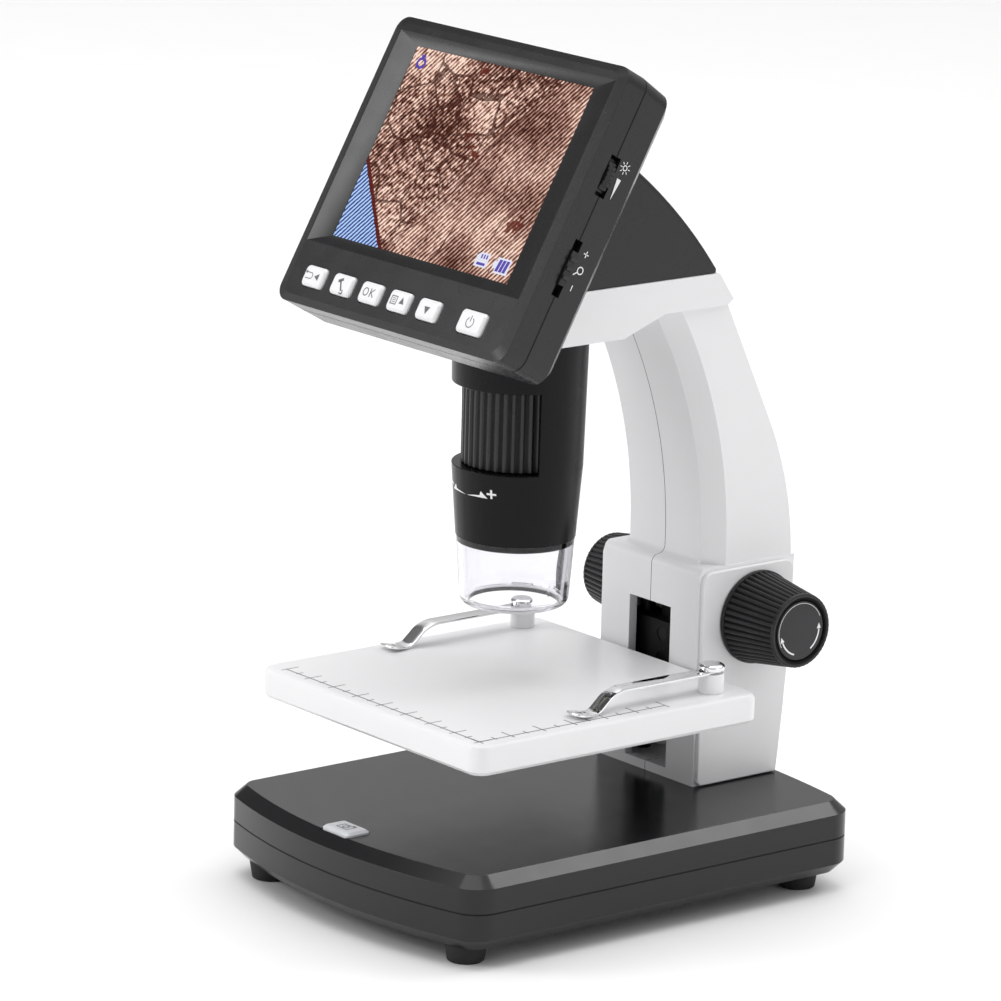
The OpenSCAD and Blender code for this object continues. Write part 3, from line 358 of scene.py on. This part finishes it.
# Near black; where it is laid as flat discs on the barrel's pinhole and the clips' pads, it is painted shade
dark_slot = moulded("dark_slot", (0.004, 0.004, 0.004), 0.6, specular_ior_level=0.2)
foot_rubber = moulded("foot_rubber", (0.010, 0.010, 0.010), 0.75, grain=0.5, relief=0.02)
white_case = moulded("white_case", (0.80, 0.80, 0.81), 0.30, relief=0.001, mottle=0.006)
# Its seam is painted shade down the middle, where the column's two halves meet
white_column = moulded("white_column", (0.80, 0.80, 0.81), 0.30, relief=0.001, mottle=0.006,
                       seams=[(ACROSS, 0, 0.1)])
white_key = moulded("white_key", (0.78, 0.78, 0.79), 0.32, relief=0.002, mottle=0.01)
grey_button = moulded("grey_button", (0.58, 0.59, 0.61), 0.34, relief=0.002, mottle=0.01)
nylon = moulded("nylon", (0.72, 0.70, 0.62), 0.5, mottle=0.03)
battery_wrap = moulded("battery_wrap", (0.05, 0.09, 0.20), 0.3, grain=1.5, relief=0.03)
steel = brushed("steel", (0.55, 0.55, 0.56), 0.32, (1, 1, 0.05))
blackened_steel = brushed("blackened_steel", (0.025, 0.025, 0.025), 0.45, (1, 1, 0.05))
brass = brushed("brass", (0.72, 0.53, 0.24), 0.3, (0.05, 1, 1))
chrome = brushed("chrome", (0.80, 0.80, 0.81), 0.06, (1, 0.05, 1))


def cast_metal():
    """Bare die-cast aluminium with a coarse skin."""
    finish = Finish("cast_aluminium", metallic=1.0)
    finish.colour(finish.mix(finish.noise(3, 3), (0.30, 0.30, 0.31), (0.38, 0.38, 0.39)))
    finish.roughness(finish.between(finish.noise(1.2, 4), 0.3, 0.7, 0.5, 0.65))
    finish.bump(finish.noise(0.6, 3), 0.03)
    return finish


def circuit_board():
    """Green lacquer over fine copper tracks that run in two directions."""
    finish = Finish("circuit_board")
    x, y, _ = finish.split(finish.place())
    blocks = finish.noise(9, 0)
    tracks = (abs(x * 1000 % 1.1 - 0.55) < 0.18) * (blocks > 0.52) | \
             (abs(y * 1000 % 1.1 - 0.55) < 0.18) * (blocks < 0.46)
    finish.colour(finish.mix(tracks, (0.010, 0.085, 0.035), (0.03, 0.17, 0.07)))
    finish.roughness(finish.between(finish.noise(2), 0.3, 0.7, 0.22, 0.32))
    finish.bump(tracks, 0.03)
    return finish


def clear_acrylic():
    """Water-clear acrylic with the faint drag lines of its mould."""
    finish = Finish("clear_acrylic", base_color=(0.90, 0.90, 0.93), ior=1.49, transmission_weight=1.0)
    drag = finish.noise(3, 2, 0.5, (1, 1, 0.1))
    finish.roughness(finish.between(drag, 0.4, 0.6, 0.0, 0.03))
    finish.bump(drag, 0.01)
    return finish


def lens_glass():
    """Polished glass, slightly blue."""
    finish = Finish("lens_glass", base_color=(0.93, 0.97, 1.0), ior=1.52, transmission_weight=1.0)
    finish.roughness(finish.between(finish.noise(4), 0.4, 0.6, 0.0, 0.02))
    return finish


def led_resin():
    """White LEDs: a yellow phosphor patch under clear resin."""
    finish = Finish("led_resin", roughness=0.2, coat_weight=0.6)
    finish.colour(finish.mix(finish.noise(0.8, 2), (0.85, 0.72, 0.22), (0.95, 0.88, 0.50)))
    finish.bump(finish.noise(0.8, 2), 0.02)
    return finish


cast_aluminium = cast_metal()
board_green = circuit_board()
hood_clear = clear_acrylic()
optical_glass = lens_glass()
led_lens = led_resin()

FINISHES = {
    "base_upper_shell": black_base, "base_lower_shell": black_base, "ballast_plate": steel,
    "rubber_feet": foot_rubber, "base_screws": steel, "snap_board": board_green, "snap_button": grey_button,
    "column_left": white_column, "column_right": white_column, "side_cover_left": white_case,
    "side_cover_right": white_case, "column_screws": steel, "guide_rods": blackened_steel,
    "rod_bracket": cast_aluminium, "shaft_bushes": nylon, "carriage": dark_slot,
    "rack": blackened_steel, "rack_screws": blackened_steel,
    "stage_plate": white_case, "stage_screws": steel, "clip_posts": white_case, "clip_left": chrome,
    "clip_right": chrome, "clip_cap_left": chrome, "clip_cap_right": chrome, "focus_shaft": steel,
    "pinion": brass, "shaft_collars": steel, "friction_washers": nylon, "knob_left": knob_grip,
    "knob_right": knob_grip, "head_collar": white_case, "head_cap": black_case, "head_screws": steel,
    "barrel_shell": black_barrel, "barrel_screws": steel, "focus_wheel": wheel_grip,
    "lens_cell": cast_aluminium, "objective_lens": optical_glass, "sensor_board": board_green,
    "led_board": board_green, "leds": led_lens, "clear_hood": hood_clear, "display_bezel": black_case,
    "display_rear_shell": black_case, "display_screws": steel, "lcd_panel": dark_slot,
    "key_board": board_green, "main_board": board_green, "battery_pack": battery_wrap, "usb_socket": steel,
    "card_socket": steel, "brightness_wheel": black_grip, "zoom_switch": black_grip, "key_back": white_key,
    "key_tool": white_key, "key_select": white_key, "key_up": white_key, "key_down": white_key,
    "key_power": white_key,
}


def coat(piece, finish):
    piece.data.materials.clear()
    piece.data.materials.append(finish.material)


for node_name, node_finish in FINISHES.items():
    for slot in range(len(frame["nodes"][node_name].material_slots)):
        frame["nodes"][node_name].material_slots[slot].material = node_finish.material


# ---------------------------------------------------------------- making pieces

BODY_OF = {node: body for body, nodes in frame["record"]["behaviour"]["bodies"].items() for node in nodes}


def select_only(piece):
    bpy.ops.object.select_all(action="DESELECT")
    piece.select_set(True)
    bpy.context.view_layer.objects.active = piece


# An edge sharper than this is rounded
SHARP = math.radians(28)


def softened(node, radius, crease=None):
    """The node's own shape with its facets joined and its sharp edges rounded.

    Where a crease angle is given, the edges between it and the sharp ones stay crisp."""
    source = frame["nodes"][node]
    piece = bpy.data.objects.new(node + "_skin", source.data.copy())
    bpy.context.scene.collection.objects.link(piece)
    select_only(piece)
    bpy.ops.object.mode_set(mode="EDIT")
    bpy.ops.mesh.select_all(action="SELECT")
    bpy.ops.mesh.remove_doubles(threshold=0.000002)
    bpy.ops.mesh.dissolve_limited(angle_limit=math.radians(0.5))
    if crease:
        for edge in bmesh.from_edit_mesh(piece.data).edges:
            edge.smooth = not math.radians(crease) < edge.calc_face_angle(0) < SHARP
    bpy.ops.object.mode_set(mode="OBJECT")
    rounding = piece.modifiers.new("rounded_edges", "BEVEL")
    rounding.width = radius * MM
    rounding.segments = 3
    rounding.limit_method = "ANGLE"
    rounding.angle_limit = SHARP
    rounding.use_clamp_overlap = True
    bpy.ops.object.modifier_apply(modifier=rounding.name)
    bpy.ops.object.shade_smooth_by_angle(angle=math.radians(32), keep_sharp_edges=True)
    weighting = piece.modifiers.new("flat_faces_first", "WEIGHTED_NORMAL")
    weighting.keep_sharp = True
    bpy.ops.object.modifier_apply(modifier=weighting.name)
    coat(piece, FINISHES[node])
    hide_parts(node)
    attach(piece, BODY_OF[node])


for node_name, radius, slot_name in (
        ("base_upper_shell", 0.5, "base_black"), ("base_lower_shell", 0.4, "base_black"),
        ("rubber_feet", 0.4, "foot_rubber"), ("snap_button", 0.3, "button_grey"),
        ("stage_plate", 1.1, "body_white"), ("clip_posts", 0.2, "body_white"),
        ("head_collar", 0.35, "body_white"),
        ("column_left", 0.4, "body_white"), ("column_right", 0.4, "body_white"),
        ("side_cover_left", 0.9, "body_white"), ("side_cover_right", 0.9, "body_white"),
        ("clip_cap_left", 0.25, "chrome"), ("clip_cap_right", 0.25, "chrome"),
        ("head_cap", 0.3, "body_black"), ("barrel_shell", 0.25, "body_black"),
        ("display_rear_shell", 0.3, "body_black"), ("focus_wheel", 0.1, "grip_black"),
        ("brightness_wheel", 0.06, "grip_black"), ("knob_left", 0.1, "grip_black"),
        ("knob_right", 0.1, "grip_black"), ("key_back", 0.25, "key_white"), ("key_tool", 0.25, "key_white"),
        ("key_select", 0.25, "key_white"), ("key_up", 0.25, "key_white"), ("key_down", 0.25, "key_white"),
        ("key_power", 0.25, "key_white")):
    softened(node_name, radius)
softened("display_bezel", 0.22, crease=5)


# ---------------------------------------------------------------- printed marks

def surface(origin, right, up):
    """Place of a flat face: its origin in millimetres, and its directions to the right and up."""
    normal = right.cross(up)
    turn = Matrix((right, up, normal)).transposed().to_4x4()
    return Matrix.Translation(origin * MM) @ turn


class Marks:
    """Flat marks drawn in millimetres on a plane, thickened a little and laid on a surface."""

    def __init__(self, name):
        bpy.ops.object.select_all(action="DESELECT")
        self.piece = bpy.data.objects.new(name, bpy.data.meshes.new(name))
        bpy.context.scene.collection.objects.link(self.piece)
        select_only(self.piece)
        bpy.ops.object.mode_set(mode="EDIT")

    def shape(self, corners, x, y, width, height, turn=0, hollow=0):
        """A triangle, bar or disc of that width and height; hollow leaves a rim that wide."""
        bpy.ops.mesh.select_all(action="DESELECT")
        middle = (x * MM, y * MM, 0)
        span = {3: (math.sqrt(3) / 2, 0.75), 4: (math.sqrt(0.5), math.sqrt(0.5))}.get(corners, (1, 1))
        level = (0, 0, math.pi / 4 if corners == 4 else 0)
        bpy.ops.mesh.primitive_circle_add(vertices=corners, radius=0.5 * MM, fill_type="NGON",
                                          location=middle, rotation=level)
        bpy.ops.transform.resize(value=(width / span[0], height / span[1], 1), center_override=middle)
        if turn:
            bpy.ops.transform.rotate(value=-math.radians(turn), orient_axis="Z", center_override=middle)
        if hollow:
            bpy.ops.mesh.inset(thickness=hollow * MM, depth=0)
            bpy.ops.mesh.delete(type="FACE")

    def chain(self, points):
        """A line of edges through points in millimetres, left selected."""
        points = [Vector(point).to_3d() * MM for point in points]
        bpy.ops.mesh.select_all(action="DESELECT")
        bpy.ops.mesh.primitive_plane_add(size=0.1 * MM, location=points[0])
        bpy.ops.mesh.merge(type="CENTER")
        for here, there in zip(points, points[1:]):
            bpy.ops.mesh.extrude_region_move(TRANSFORM_OT_translate={"value": tuple(there - here)})
        bpy.ops.mesh.select_linked()

    def patch(self, points):
        """A flat face with those corners."""
        self.chain(points)
        bpy.ops.mesh.edge_face_add()

    def spun(self, points, centre, sweep, steps):
        """The line through points carried round the centre over the angle sweep, in degrees."""
        self.chain(points)
        bpy.ops.mesh.spin(steps=steps, angle=-math.radians(sweep), center=Vector(centre).to_3d() * MM,
                          axis=(0, 0, 1))

    def arc(self, x, y, radius, width, start, sweep):
        """A band bent round x, y, from the angle start over the angle sweep, in degrees."""
        out = Vector((math.cos(math.radians(start)), math.sin(math.radians(start))))
        centre = Vector((x, y))
        self.spun((centre + out * (radius - width / 2), centre + out * (radius + width / 2)), centre, sweep,
                  max(3, int(abs(sweep) / 8)))

    def placed(self, where, finish, body):
        """Ends the drawing, and gives the piece its place, finish and body."""
        bpy.ops.object.mode_set(mode="OBJECT")
        self.piece.matrix_world = where
        bpy.ops.object.transform_apply(location=True, rotation=True, scale=True)
        coat(self.piece, finish)
        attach(self.piece, body)

    def applied(self, kind, **settings):
        """Adds a modifier and applies it."""
        step = self.piece.modifiers.new(kind.lower(), kind)
        for word, value in settings.items():
            setattr(step, word, value)
        bpy.ops.object.modifier_apply(modifier=step.name)

    def finish(self, where, finish, body, slot, thick=0.03):
        """Lays the flat marks on a surface, that many millimetres thick."""
        bpy.ops.mesh.select_all(action="SELECT")
        bpy.ops.mesh.remove_doubles(threshold=0.000001)
        bpy.ops.mesh.extrude_region_move(TRANSFORM_OT_translate={"value": (0, 0, thick * MM)})
        bpy.ops.mesh.select_all(action="SELECT")
        bpy.ops.mesh.normals_make_consistent(inside=False)
        self.placed(where, finish, body)

    def wrapped(self, where, finish, body, target):
        """Lays the marks on a target's curved front, met along the depth axis."""
        bpy.ops.mesh.select_all(action="SELECT")
        bpy.ops.mesh.quads_convert_to_tris()
        bpy.ops.mesh.subdivide(number_cuts=4)
        self.placed(where, finish, body)
        self.applied("SHRINKWRAP", target=target, wrap_method="PROJECT", wrap_mode="ABOVE_SURFACE",
                     use_project_y=True, use_positive_direction=True, offset=0.02 * MM)
        self.applied("SOLIDIFY", thickness=0.03 * MM, offset=1)

    def turned(self, where, finish, body):
        """Closes a piece that was spun right round, and rounds its edges."""
        bpy.ops.mesh.select_all(action="SELECT")
        bpy.ops.mesh.remove_doubles(threshold=0.000002)
        bpy.ops.mesh.normals_make_consistent(inside=False)
        self.placed(where, finish, body)
        self.rounded(0.1, 40)

    def rounded(self, width, sharp):
        """Rounds the edges that are sharper than that angle in degrees."""
        self.applied("BEVEL", width=width * MM, segments=2, limit_method="ANGLE",
                     angle_limit=math.radians(sharp))
        bpy.ops.object.shade_smooth_by_angle(angle=math.radians(35))


white_ink = moulded("white_ink", (0.80, 0.80, 0.80), 0.5, relief=0.002, mottle=0.03)
grey_ink = moulded("grey_ink", (0.11, 0.11, 0.12), 0.5, relief=0.001, mottle=0.03)
ruler_ink = moulded("ruler_ink", (0.22, 0.22, 0.23), 0.5, relief=0.001, mottle=0.03)

# Half the display's width, and how far behind its front the sun mark lies
DISPLAY_SIDE = 46.4
LEGEND_ROW = -10.4
side_face = surface(DISPLAY + DISPLAY_SIDE * ACROSS, UPWARD, OUTWARD)

SUN_UP = 11.2
RAY_REACH = 1.35
sun = Marks("sun_mark")
sun.shape(24, SUN_UP, LEGEND_ROW, 1.5, 1.5, hollow=0.25)
for ray in range(8):
    angle = ray * math.pi / 4
    sun.shape(4, SUN_UP + RAY_REACH * math.cos(angle), LEGEND_ROW + RAY_REACH * math.sin(angle), 0.65, 0.22,
              turn=ray * 45)
sun.shape(3, 6.2, -10.1, 1.4, 5.6, turn=90)
sun.finish(side_face, white_ink, "stand", "key_white")

zoom = Marks("zoom_marks")
zoom.shape(4, -12.2, -10.3, 1.7, 0.28)
zoom.shape(4, -12.2, -10.3, 0.28, 1.7)
zoom.shape(24, -16.4, -10.6, 2.1, 2.1, hollow=0.3)
zoom.shape(4, -17.6, -9.4, 1.4, 0.32, turn=135)
zoom.shape(4, -21.2, -10.3, 1.5, 0.28)
zoom.finish(side_face, white_ink, "stand", "key_white")

ZOOM_SWITCH = (-17.5, -6.5)
ZOOM_RIB_PITCH = 2.4
switch_face = surface(DISPLAY + (DISPLAY_SIDE + 0.5) * ACROSS, UPWARD, OUTWARD)
for rib in range(3):
    grip = Marks("zoom_grip_%d" % (rib + 1))
    grip.shape(4, ZOOM_SWITCH[0] + ZOOM_RIB_PITCH * (rib - 1), ZOOM_SWITCH[1], 0.9, 2.0)
    grip.finish(switch_face, black_disc, "zoom", "grip_black", thick=0.7)

# Middles of the first menu key and of the power key, from the middle of the screen
FIRST_KEY = -33.3
KEY_PITCH = 11.7
POWER_KEY = 30.8
KEY_ROW = -38.4
KEY_HEIGHT = 1.8


def key_face(x):
    return surface(DISPLAY + x * ACROSS + KEY_ROW * UPWARD + KEY_HEIGHT * OUTWARD, ACROSS, UPWARD)


back = Marks("back_legend")
back.shape(3, 1.7, 0, 1.9, 1.7, turn=90)
back.shape(4, -1.9, -0.85, 1.9, 0.22)
back.shape(4, -1.9, 0.75, 1.9, 0.22)
back.arc(-1.0, -0.05, 0.8, 0.22, -90, 180)
back.shape(3, -2.9, 0.75, 0.9, 0.7, turn=90)
back.finish(key_face(FIRST_KEY), grey_ink, "back_key", "button_grey")

tool = Marks("tool_legend")
tool.shape(4, 0.2, -0.4, 3.0, 0.5, turn=-60)
tool.shape(4, -0.5, 1.0, 1.9, 0.75, turn=25)
tool.arc(1.1, -1.9, 0.55, 0.3, -160, 230)
tool.finish(key_face(FIRST_KEY + KEY_PITCH), grey_ink, "tool_key", "button_grey")

select = Marks("select_legend")
select.shape(20, -1.35, 0, 2.1, 2.3, hollow=0.28)
select.shape(4, 0.5, 0, 0.3, 2.3)
select.shape(4, 1.25, 0.55, 1.7, 0.28, turn=42)
select.shape(4, 1.3, -0.5, 1.8, 0.28, turn=-42)
select.finish(key_face(FIRST_KEY + 2 * KEY_PITCH), grey_ink, "select_key", "button_grey")

menu = Marks("menu_legend")
menu.shape(4, -1.5, 0, 2.4, 2.3, hollow=0.25)
for line in (-0.5, 0, 0.5):
    menu.shape(4, -1.5, line, 1.2, 0.18)
menu.shape(3, 1.6, 0, 1.9, 1.8)
menu.finish(key_face(FIRST_KEY + 3 * KEY_PITCH), grey_ink, "up_key", "button_grey")

down = Marks("down_legend")
down.shape(3, 0, 0, 2.2, 2.0, turn=180)
down.finish(key_face(FIRST_KEY + 4 * KEY_PITCH), grey_ink, "down_key", "button_grey")

power = Marks("power_legend")
power.arc(0, -0.1, 1.35, 0.26, 125, 290)
power.shape(4, 0, 0.85, 0.26, 1.6)
power.finish(key_face(POWER_KEY), grey_ink, "power_key", "button_grey")

SNAP_BUTTON = Vector((0, -62.0, 25.2))
camera_mark = Marks("snap_legend")
camera_mark.shape(4, 0, 0, 4.4, 3.0, hollow=0.3)
camera_mark.shape(24, 0, 0, 2.0, 2.0, hollow=0.35)
camera_mark.shape(4, 1.4, 1.9, 1.3, 0.5)
camera_mark.finish(surface(SNAP_BUTTON, ACROSS, BACKWARD), grey_ink, "snap", "button_grey")

# The ruler's corner, the lengths of its two sides, and the length and offset of a whole and a half tick
RULER_X, RULER_Y = 41.9, -53.1
RULER_WIDE, RULER_DEEP = 80, 60
TICK_STEP = 5
TICKS = ((5.4, 1.1), (2.2, 0.5))
TICK_WIDTH, LINE_WIDTH = 0.42, 0.5
ruler = Marks("stage_ruler")
ruler.shape(4, RULER_X - RULER_WIDE / 2, RULER_Y, RULER_WIDE + 0.4, LINE_WIDTH)
ruler.shape(4, RULER_X, RULER_Y + RULER_DEEP / 2, LINE_WIDTH, RULER_DEEP + 0.4)
for step in range(RULER_WIDE // TICK_STEP + 1):
    length, offset = TICKS[step % 2]
    ruler.shape(4, RULER_X - TICK_STEP * step, RULER_Y + offset, TICK_WIDTH, length)
for step in range(RULER_DEEP // TICK_STEP + 1):
    length, offset = TICKS[step % 2]
    ruler.shape(4, RULER_X - offset, RULER_Y + TICK_STEP * step, length, TICK_WIDTH)
ruler.finish(surface(STAGE_TOP * UPRIGHT, ACROSS, BACKWARD), ruler_ink, "stage", "button_grey", thick=0.02)

# Across and height of the corners of one arrow, and the height of the signs at the ends
ARROW = ((0.2, 106.98), (3.4, 107.1), (6.8, 107.05), (5.0, 108.75), (4.6, 107.65), (2.6, 107.4))
SIGNS = 108.3
band = Marks("barrel_arrows")
for side in (-1, 1):
    band.patch([(side * x, z) for x, z in ARROW])
    band.shape(4, side * 7.8, SIGNS, 2.3, 0.5)
band.shape(4, 7.8, SIGNS, 0.5, 2.3)
band.wrapped(surface(Vector((0, -32, 0)), ACROSS, UPRIGHT), white_ink, "stand",
             bpy.data.objects["barrel_shell_skin"])

PIN_ANGLE = math.radians(68.5)
PIN_REACH = 16.36
out = Vector((math.sin(PIN_ANGLE), -math.cos(PIN_ANGLE), 0))
pin_place = surface(BARREL + PIN_REACH * out + 108.1 * UPRIGHT, UPRIGHT.cross(out), UPRIGHT)
# Painted shade: a flat near-black disc stands in for the shade inside the barrel's pinhole
pinhole_shade = Marks("barrel_pinhole")
pinhole_shade.shape(16, 0, 0, 0.9, 0.9)
pinhole_shade.finish(pin_place, dark_slot, "stand", "grip_black")


# ---------------------------------------------------------------- knobs and clips

KNOB_FOOT = 21.0
KNOB_FACE = 37.6
DISC_FACE = 38.23


def on_knob(side, reach):
    """The face across the shaft on that side, reach millimetres from the middle."""
    return surface(SHAFT + side * reach * ACROSS, side * BACKWARD, UPRIGHT)


def knob_trim(side, name):
    """A knob's foot, rim and recessed disc, the arrows printed on the disc, and a painted highlight along the
    disc's upper edge.
    """
    disc = Marks("knob_disc_" + name)
    disc.spun([(0, 0, 0), (7.8, 0, 0), (7.8, 0, 0.55), (7.2, 0, 0.62), (0, 0, 0.7)], (0, 0), 360, 64)
    disc.turned(on_knob(side, KNOB_FACE), black_disc, "focus_drive")

    rim = Marks("knob_rim_" + name)
    rim.spun([(8.6, 0, 0), (9.85, 0, 0), (9.75, 0, 0.75), (9.3, 0, 0.95), (8.4, 0, 0.6), (8.6, 0, 0)],
             (0, 0), 360, 88)
    rim.turned(on_knob(side, KNOB_FACE), black_grip, "focus_drive")

    flange = Marks("knob_flange_" + name)
    flange.spun([(11, 0, 0), (12.45, 0, 0), (12.4, 0, 1.0), (11, 0, 1.0), (11, 0, 0)], (0, 0), 360, 88)
    flange.turned(on_knob(side, KNOB_FOOT), black_grip, "focus_drive")

    arrows_and_highlight = Marks("knob_arrows_" + name)
    arrows_and_highlight.arc(0, 0, 6.4, 0.42, -55, 52)
    arrows_and_highlight.arc(0, 0, 6.4, 0.42, -107, -50)
    arrows_and_highlight.shape(3, 6.35, 0.3, 1.3, 1.5)
    arrows_and_highlight.shape(3, -6.15, -1.9, 1.3, 1.5, turn=18)
    # Painted highlight: a thin white arc along the upper edge of the disc, where light catches its bevel
    arrows_and_highlight.arc(0, 0, 7.3, 0.12, 25, 185)
    arrows_and_highlight.finish(on_knob(side, DISC_FACE), white_ink, "focus_drive", "key_white")


knob_trim(-1, "left")
knob_trim(1, "right")


def bent(corners, reach, steps=5):
    """The line through the corners, turned off round each of them over that reach."""
    corners = [Vector(corner) for corner in corners]
    line = [corners[0]]
    for before, corner, after in zip(corners, corners[1:], corners[2:]):
        start = corner + (before - corner).normalized() * reach
        end = corner + (after - corner).normalized() * reach
        for step in range(steps + 1):
            share = step / steps
            line.append(start * (1 - share) ** 2 + corner * 2 * share * (1 - share) + end * share ** 2)
    return line + [corners[-1]]


# Depth and height of the middle of the strip where it bends, from the post to the toe
SPRING_CORNERS = ((26.2, 61.85), (-6.0, 61.85), (-9.3, 60.7), (-13.8, 56.8), (-16.4, 56.72))
STRIP_HALF = 2.3
STRIP_THICKNESS = 0.7

# The pad's corners from where it joins the strip, its thickness, and how steeply it rises
PAD = ((-STRIP_HALF, 1), (STRIP_HALF, 1), (3.2, -3.6), (2.7, -4.9), (1.3, -5.4), (-1.3, -5.4), (-2.7, -4.9),
       (-3.2, -3.6))
PAD_THICKNESS = 0.6
PAD_RISE = math.radians(9)


def leaf_spring(side, x, body):
    """A strip of spring steel that slopes down to the stage, with a flared pad that rises to its tip."""
    strip = Marks("clip_strip_" + side)
    strip.chain([(x - STRIP_HALF, *place) for place in bent(SPRING_CORNERS, 1.3)])
    bpy.ops.mesh.extrude_region_move(TRANSFORM_OT_translate={"value": (2 * STRIP_HALF * MM, 0, 0)})
    bpy.ops.mesh.select_all(action="SELECT")
    bpy.ops.mesh.normals_make_consistent(inside=False)
    strip.placed(Matrix.Identity(4), chrome, body)
    strip.applied("SOLIDIFY", thickness=STRIP_THICKNESS * MM, offset=0)
    strip.rounded(0.15, 50)
    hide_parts("clip_" + side)

    pad_back = Vector((0, math.cos(PAD_RISE), -math.sin(PAD_RISE)))
    pad_plane = surface(Vector((x, -15.6, 56.45)), ACROSS, pad_back)
    pad = Marks("clip_pad_" + side)
    pad.patch(PAD)
    pad.finish(pad_plane, chrome, body, "chrome", thick=PAD_THICKNESS)
    pad.rounded(0.15, 50)

    pad_top = pad_plane @ Matrix.Translation((0, 0, PAD_THICKNESS * MM))
    # Painted shade: a flat near-black disc on the pad stands in for the shade inside its hole
    hole_shade = Marks("clip_hole_" + side)
    hole_shade.shape(16, 0, -2.6, 1.1, 1.1)
    hole_shade.finish(pad_top, dark_slot, body, "grip_black", thick=0.02)


leaf_spring("left", -38.5, "left_clip")
leaf_spring("right", 38.5, "right_clip")


# ---------------------------------------------------------------- screen picture

COPPER = ((0, (0.025, 0.004, 0.002)), (0.25, (0.12, 0.038, 0.022)), (0.5, (0.31, 0.15, 0.11)),
          (0.75, (0.60, 0.37, 0.31)), (1, (1, 0.75, 0.62)))
LINE_PITCH = 1.11
CELL_SIZE = 12
GRAIN_SPACING = 15
SIDE_VEIN_SPACING = 13
CORNER_START = 40.6
CORNER_RIM = 1.6


def specimen():
    """Lit picture of a magnified leaf: a lined blade, a vein, cells, dark grains and a blue corner."""
    finish = Finish("screen_picture", base_color=(0.004, 0.004, 0.004), roughness=0.3,
                    specular_ior_level=0.02, emission_strength=1.0)
    across = finish.along(ACROSS, DISPLAY)
    up = finish.along(UPWARD, DISPLAY)
    drift = finish.noise(16, 2) - 0.5
    fine = finish.noise(1.3, 3) - 0.5
    vein = across * 0.80 - up * 0.60 + (up / 8).wave() * 2.2 + drift * 9 - 3
    cellular = vein < 0
    lines = ((up * 0.6 - across * 0.8 + fine * 0.45) * (2 * math.pi / LINE_PITCH)).wave()
    shine = lines * 0.36 + drift * 1.5 + fine * (1.0 + cellular * 1.4) + 0.47
    copper = finish.node("ValToRGB", {"stops": COPPER}, {0: shine})
    sway = finish.node("CombineXYZ", (), {0: drift * 0.007, 1: fine * 0.0022, 2: drift * 0.005})
    wavy = finish.node("VectorMath", {"operation": "ADD"}, {0: finish.place(), 1: sway})
    cells = finish.node("TexVoronoi", {"feature": "DISTANCE_TO_EDGE"},
                        {"Vector": wavy, "Scale": 1000 / CELL_SIZE})
    grains = finish.node("TexVoronoi", (), {"Vector": wavy, "Scale": 1000 / GRAIN_SPACING})
    side_vein = abs((across + abs(vein) * 0.9 + drift * 5) % SIDE_VEIN_SPACING - SIDE_VEIN_SPACING / 2)
    wall = (cells < 0.026) * cellular | (side_vein < 0.3) * (vein > 1.5)
    rim = (abs(vein) > 1.1) * (abs(vein) < 1.6)
    grain = (grains + fine * 0.35) < 0.13
    picture = finish.mix((wall | rim) * 0.8, copper, (0.055, 0.010, 0.005))
    picture = finish.mix(grain * 0.85, picture, (0.12, 0.016, 0.008))
    edge = across * -1 - up * 0.9 + fine * 1.2
    picture = finish.mix(edge > CORNER_START - CORNER_RIM, picture, (0.10, 0.012, 0.008))
    blue = finish.mix(lines > 0, (0.03, 0.05, 0.24), (0.45, 0.64, 0.95))
    finish.put(finish.shader.inputs["Emission Color"], finish.mix(edge > CORNER_START, picture, blue))
    return finish


SCREEN = surface(DISPLAY - 0.35 * OUTWARD, ACROSS, UPWARD)
picture = Marks("screen_picture")
picture.shape(4, 0, 0, 70.5, 53.0)
picture.finish(SCREEN, specimen(), "stand", "screen", thick=0.04)


def lit_icon(name, first, second):
    """Glowing pixels of the screen between two close colours."""
    finish = Finish(name, base_color=(0.02, 0.02, 0.02), roughness=0.2, emission_strength=0.9)
    finish.put(finish.shader.inputs["Emission Color"], finish.mix(finish.noise(0.5), first, second))
    return finish


icon_white = lit_icon("icon_white", (0.75, 0.76, 0.9), (0.85, 0.86, 0.98))
icon_violet = lit_icon("icon_violet", (0.05, 0.02, 0.36), (0.09, 0.04, 0.46))

# A memory card and a battery in the lower right corner
icons = Marks("screen_icons")
icons.patch([(20.4, -24.2), (25.2, -24.2), (25.2, -20.4), (21.6, -20.4), (20.4, -21.4)])
icons.shape(4, 31.0, -22.6, 5.2, 4.2)
icons.shape(4, 27.9, -22.6, 1.0, 1.9)
icons.finish(SCREEN @ Matrix.Translation((0, 0, 0.045 * MM)), icon_white, "stand", "screen")

# The card's contacts and the battery's bars, and a ring in the upper left corner
bars = Marks("screen_icon_bars")
for bar in range(3):
    left = 28.8 + 1.4 * bar
    bars.patch([(left, -24.2), (left + 1.1, -24.2), (left + 1.6, -21.0), (left + 0.5, -21.0)])
    bars.shape(4, 22.3 + 1.0 * bar, -21.4, 0.5, 1.1)
bars.shape(4, 22.9, -23.4, 3.2, 0.7)
bars.shape(8, -31.2, 22.4, 3.9, 3.4, hollow=0.75)
bars.shape(4, -31.2, 24.3, 1.6, 0.7)
bars.finish(SCREEN @ Matrix.Translation((0, 0, 0.08 * MM)), icon_violet, "stand", "screen")


# ---------------------------------------------------------------- floor

bpy.ops.object.select_all(action="DESELECT")
bpy.ops.mesh.primitive_plane_add(size=60, location=(0, 0, 0))
floor = bpy.context.object
floor.name = "floor"
floor_finish = Finish("floor_paper", roughness=0.7)
floor_finish.colour(floor_finish.mix(floor_finish.noise(30, 2), (0.87, 0.87, 0.87), (0.89, 0.89, 0.89)))
coat(floor, floor_finish)
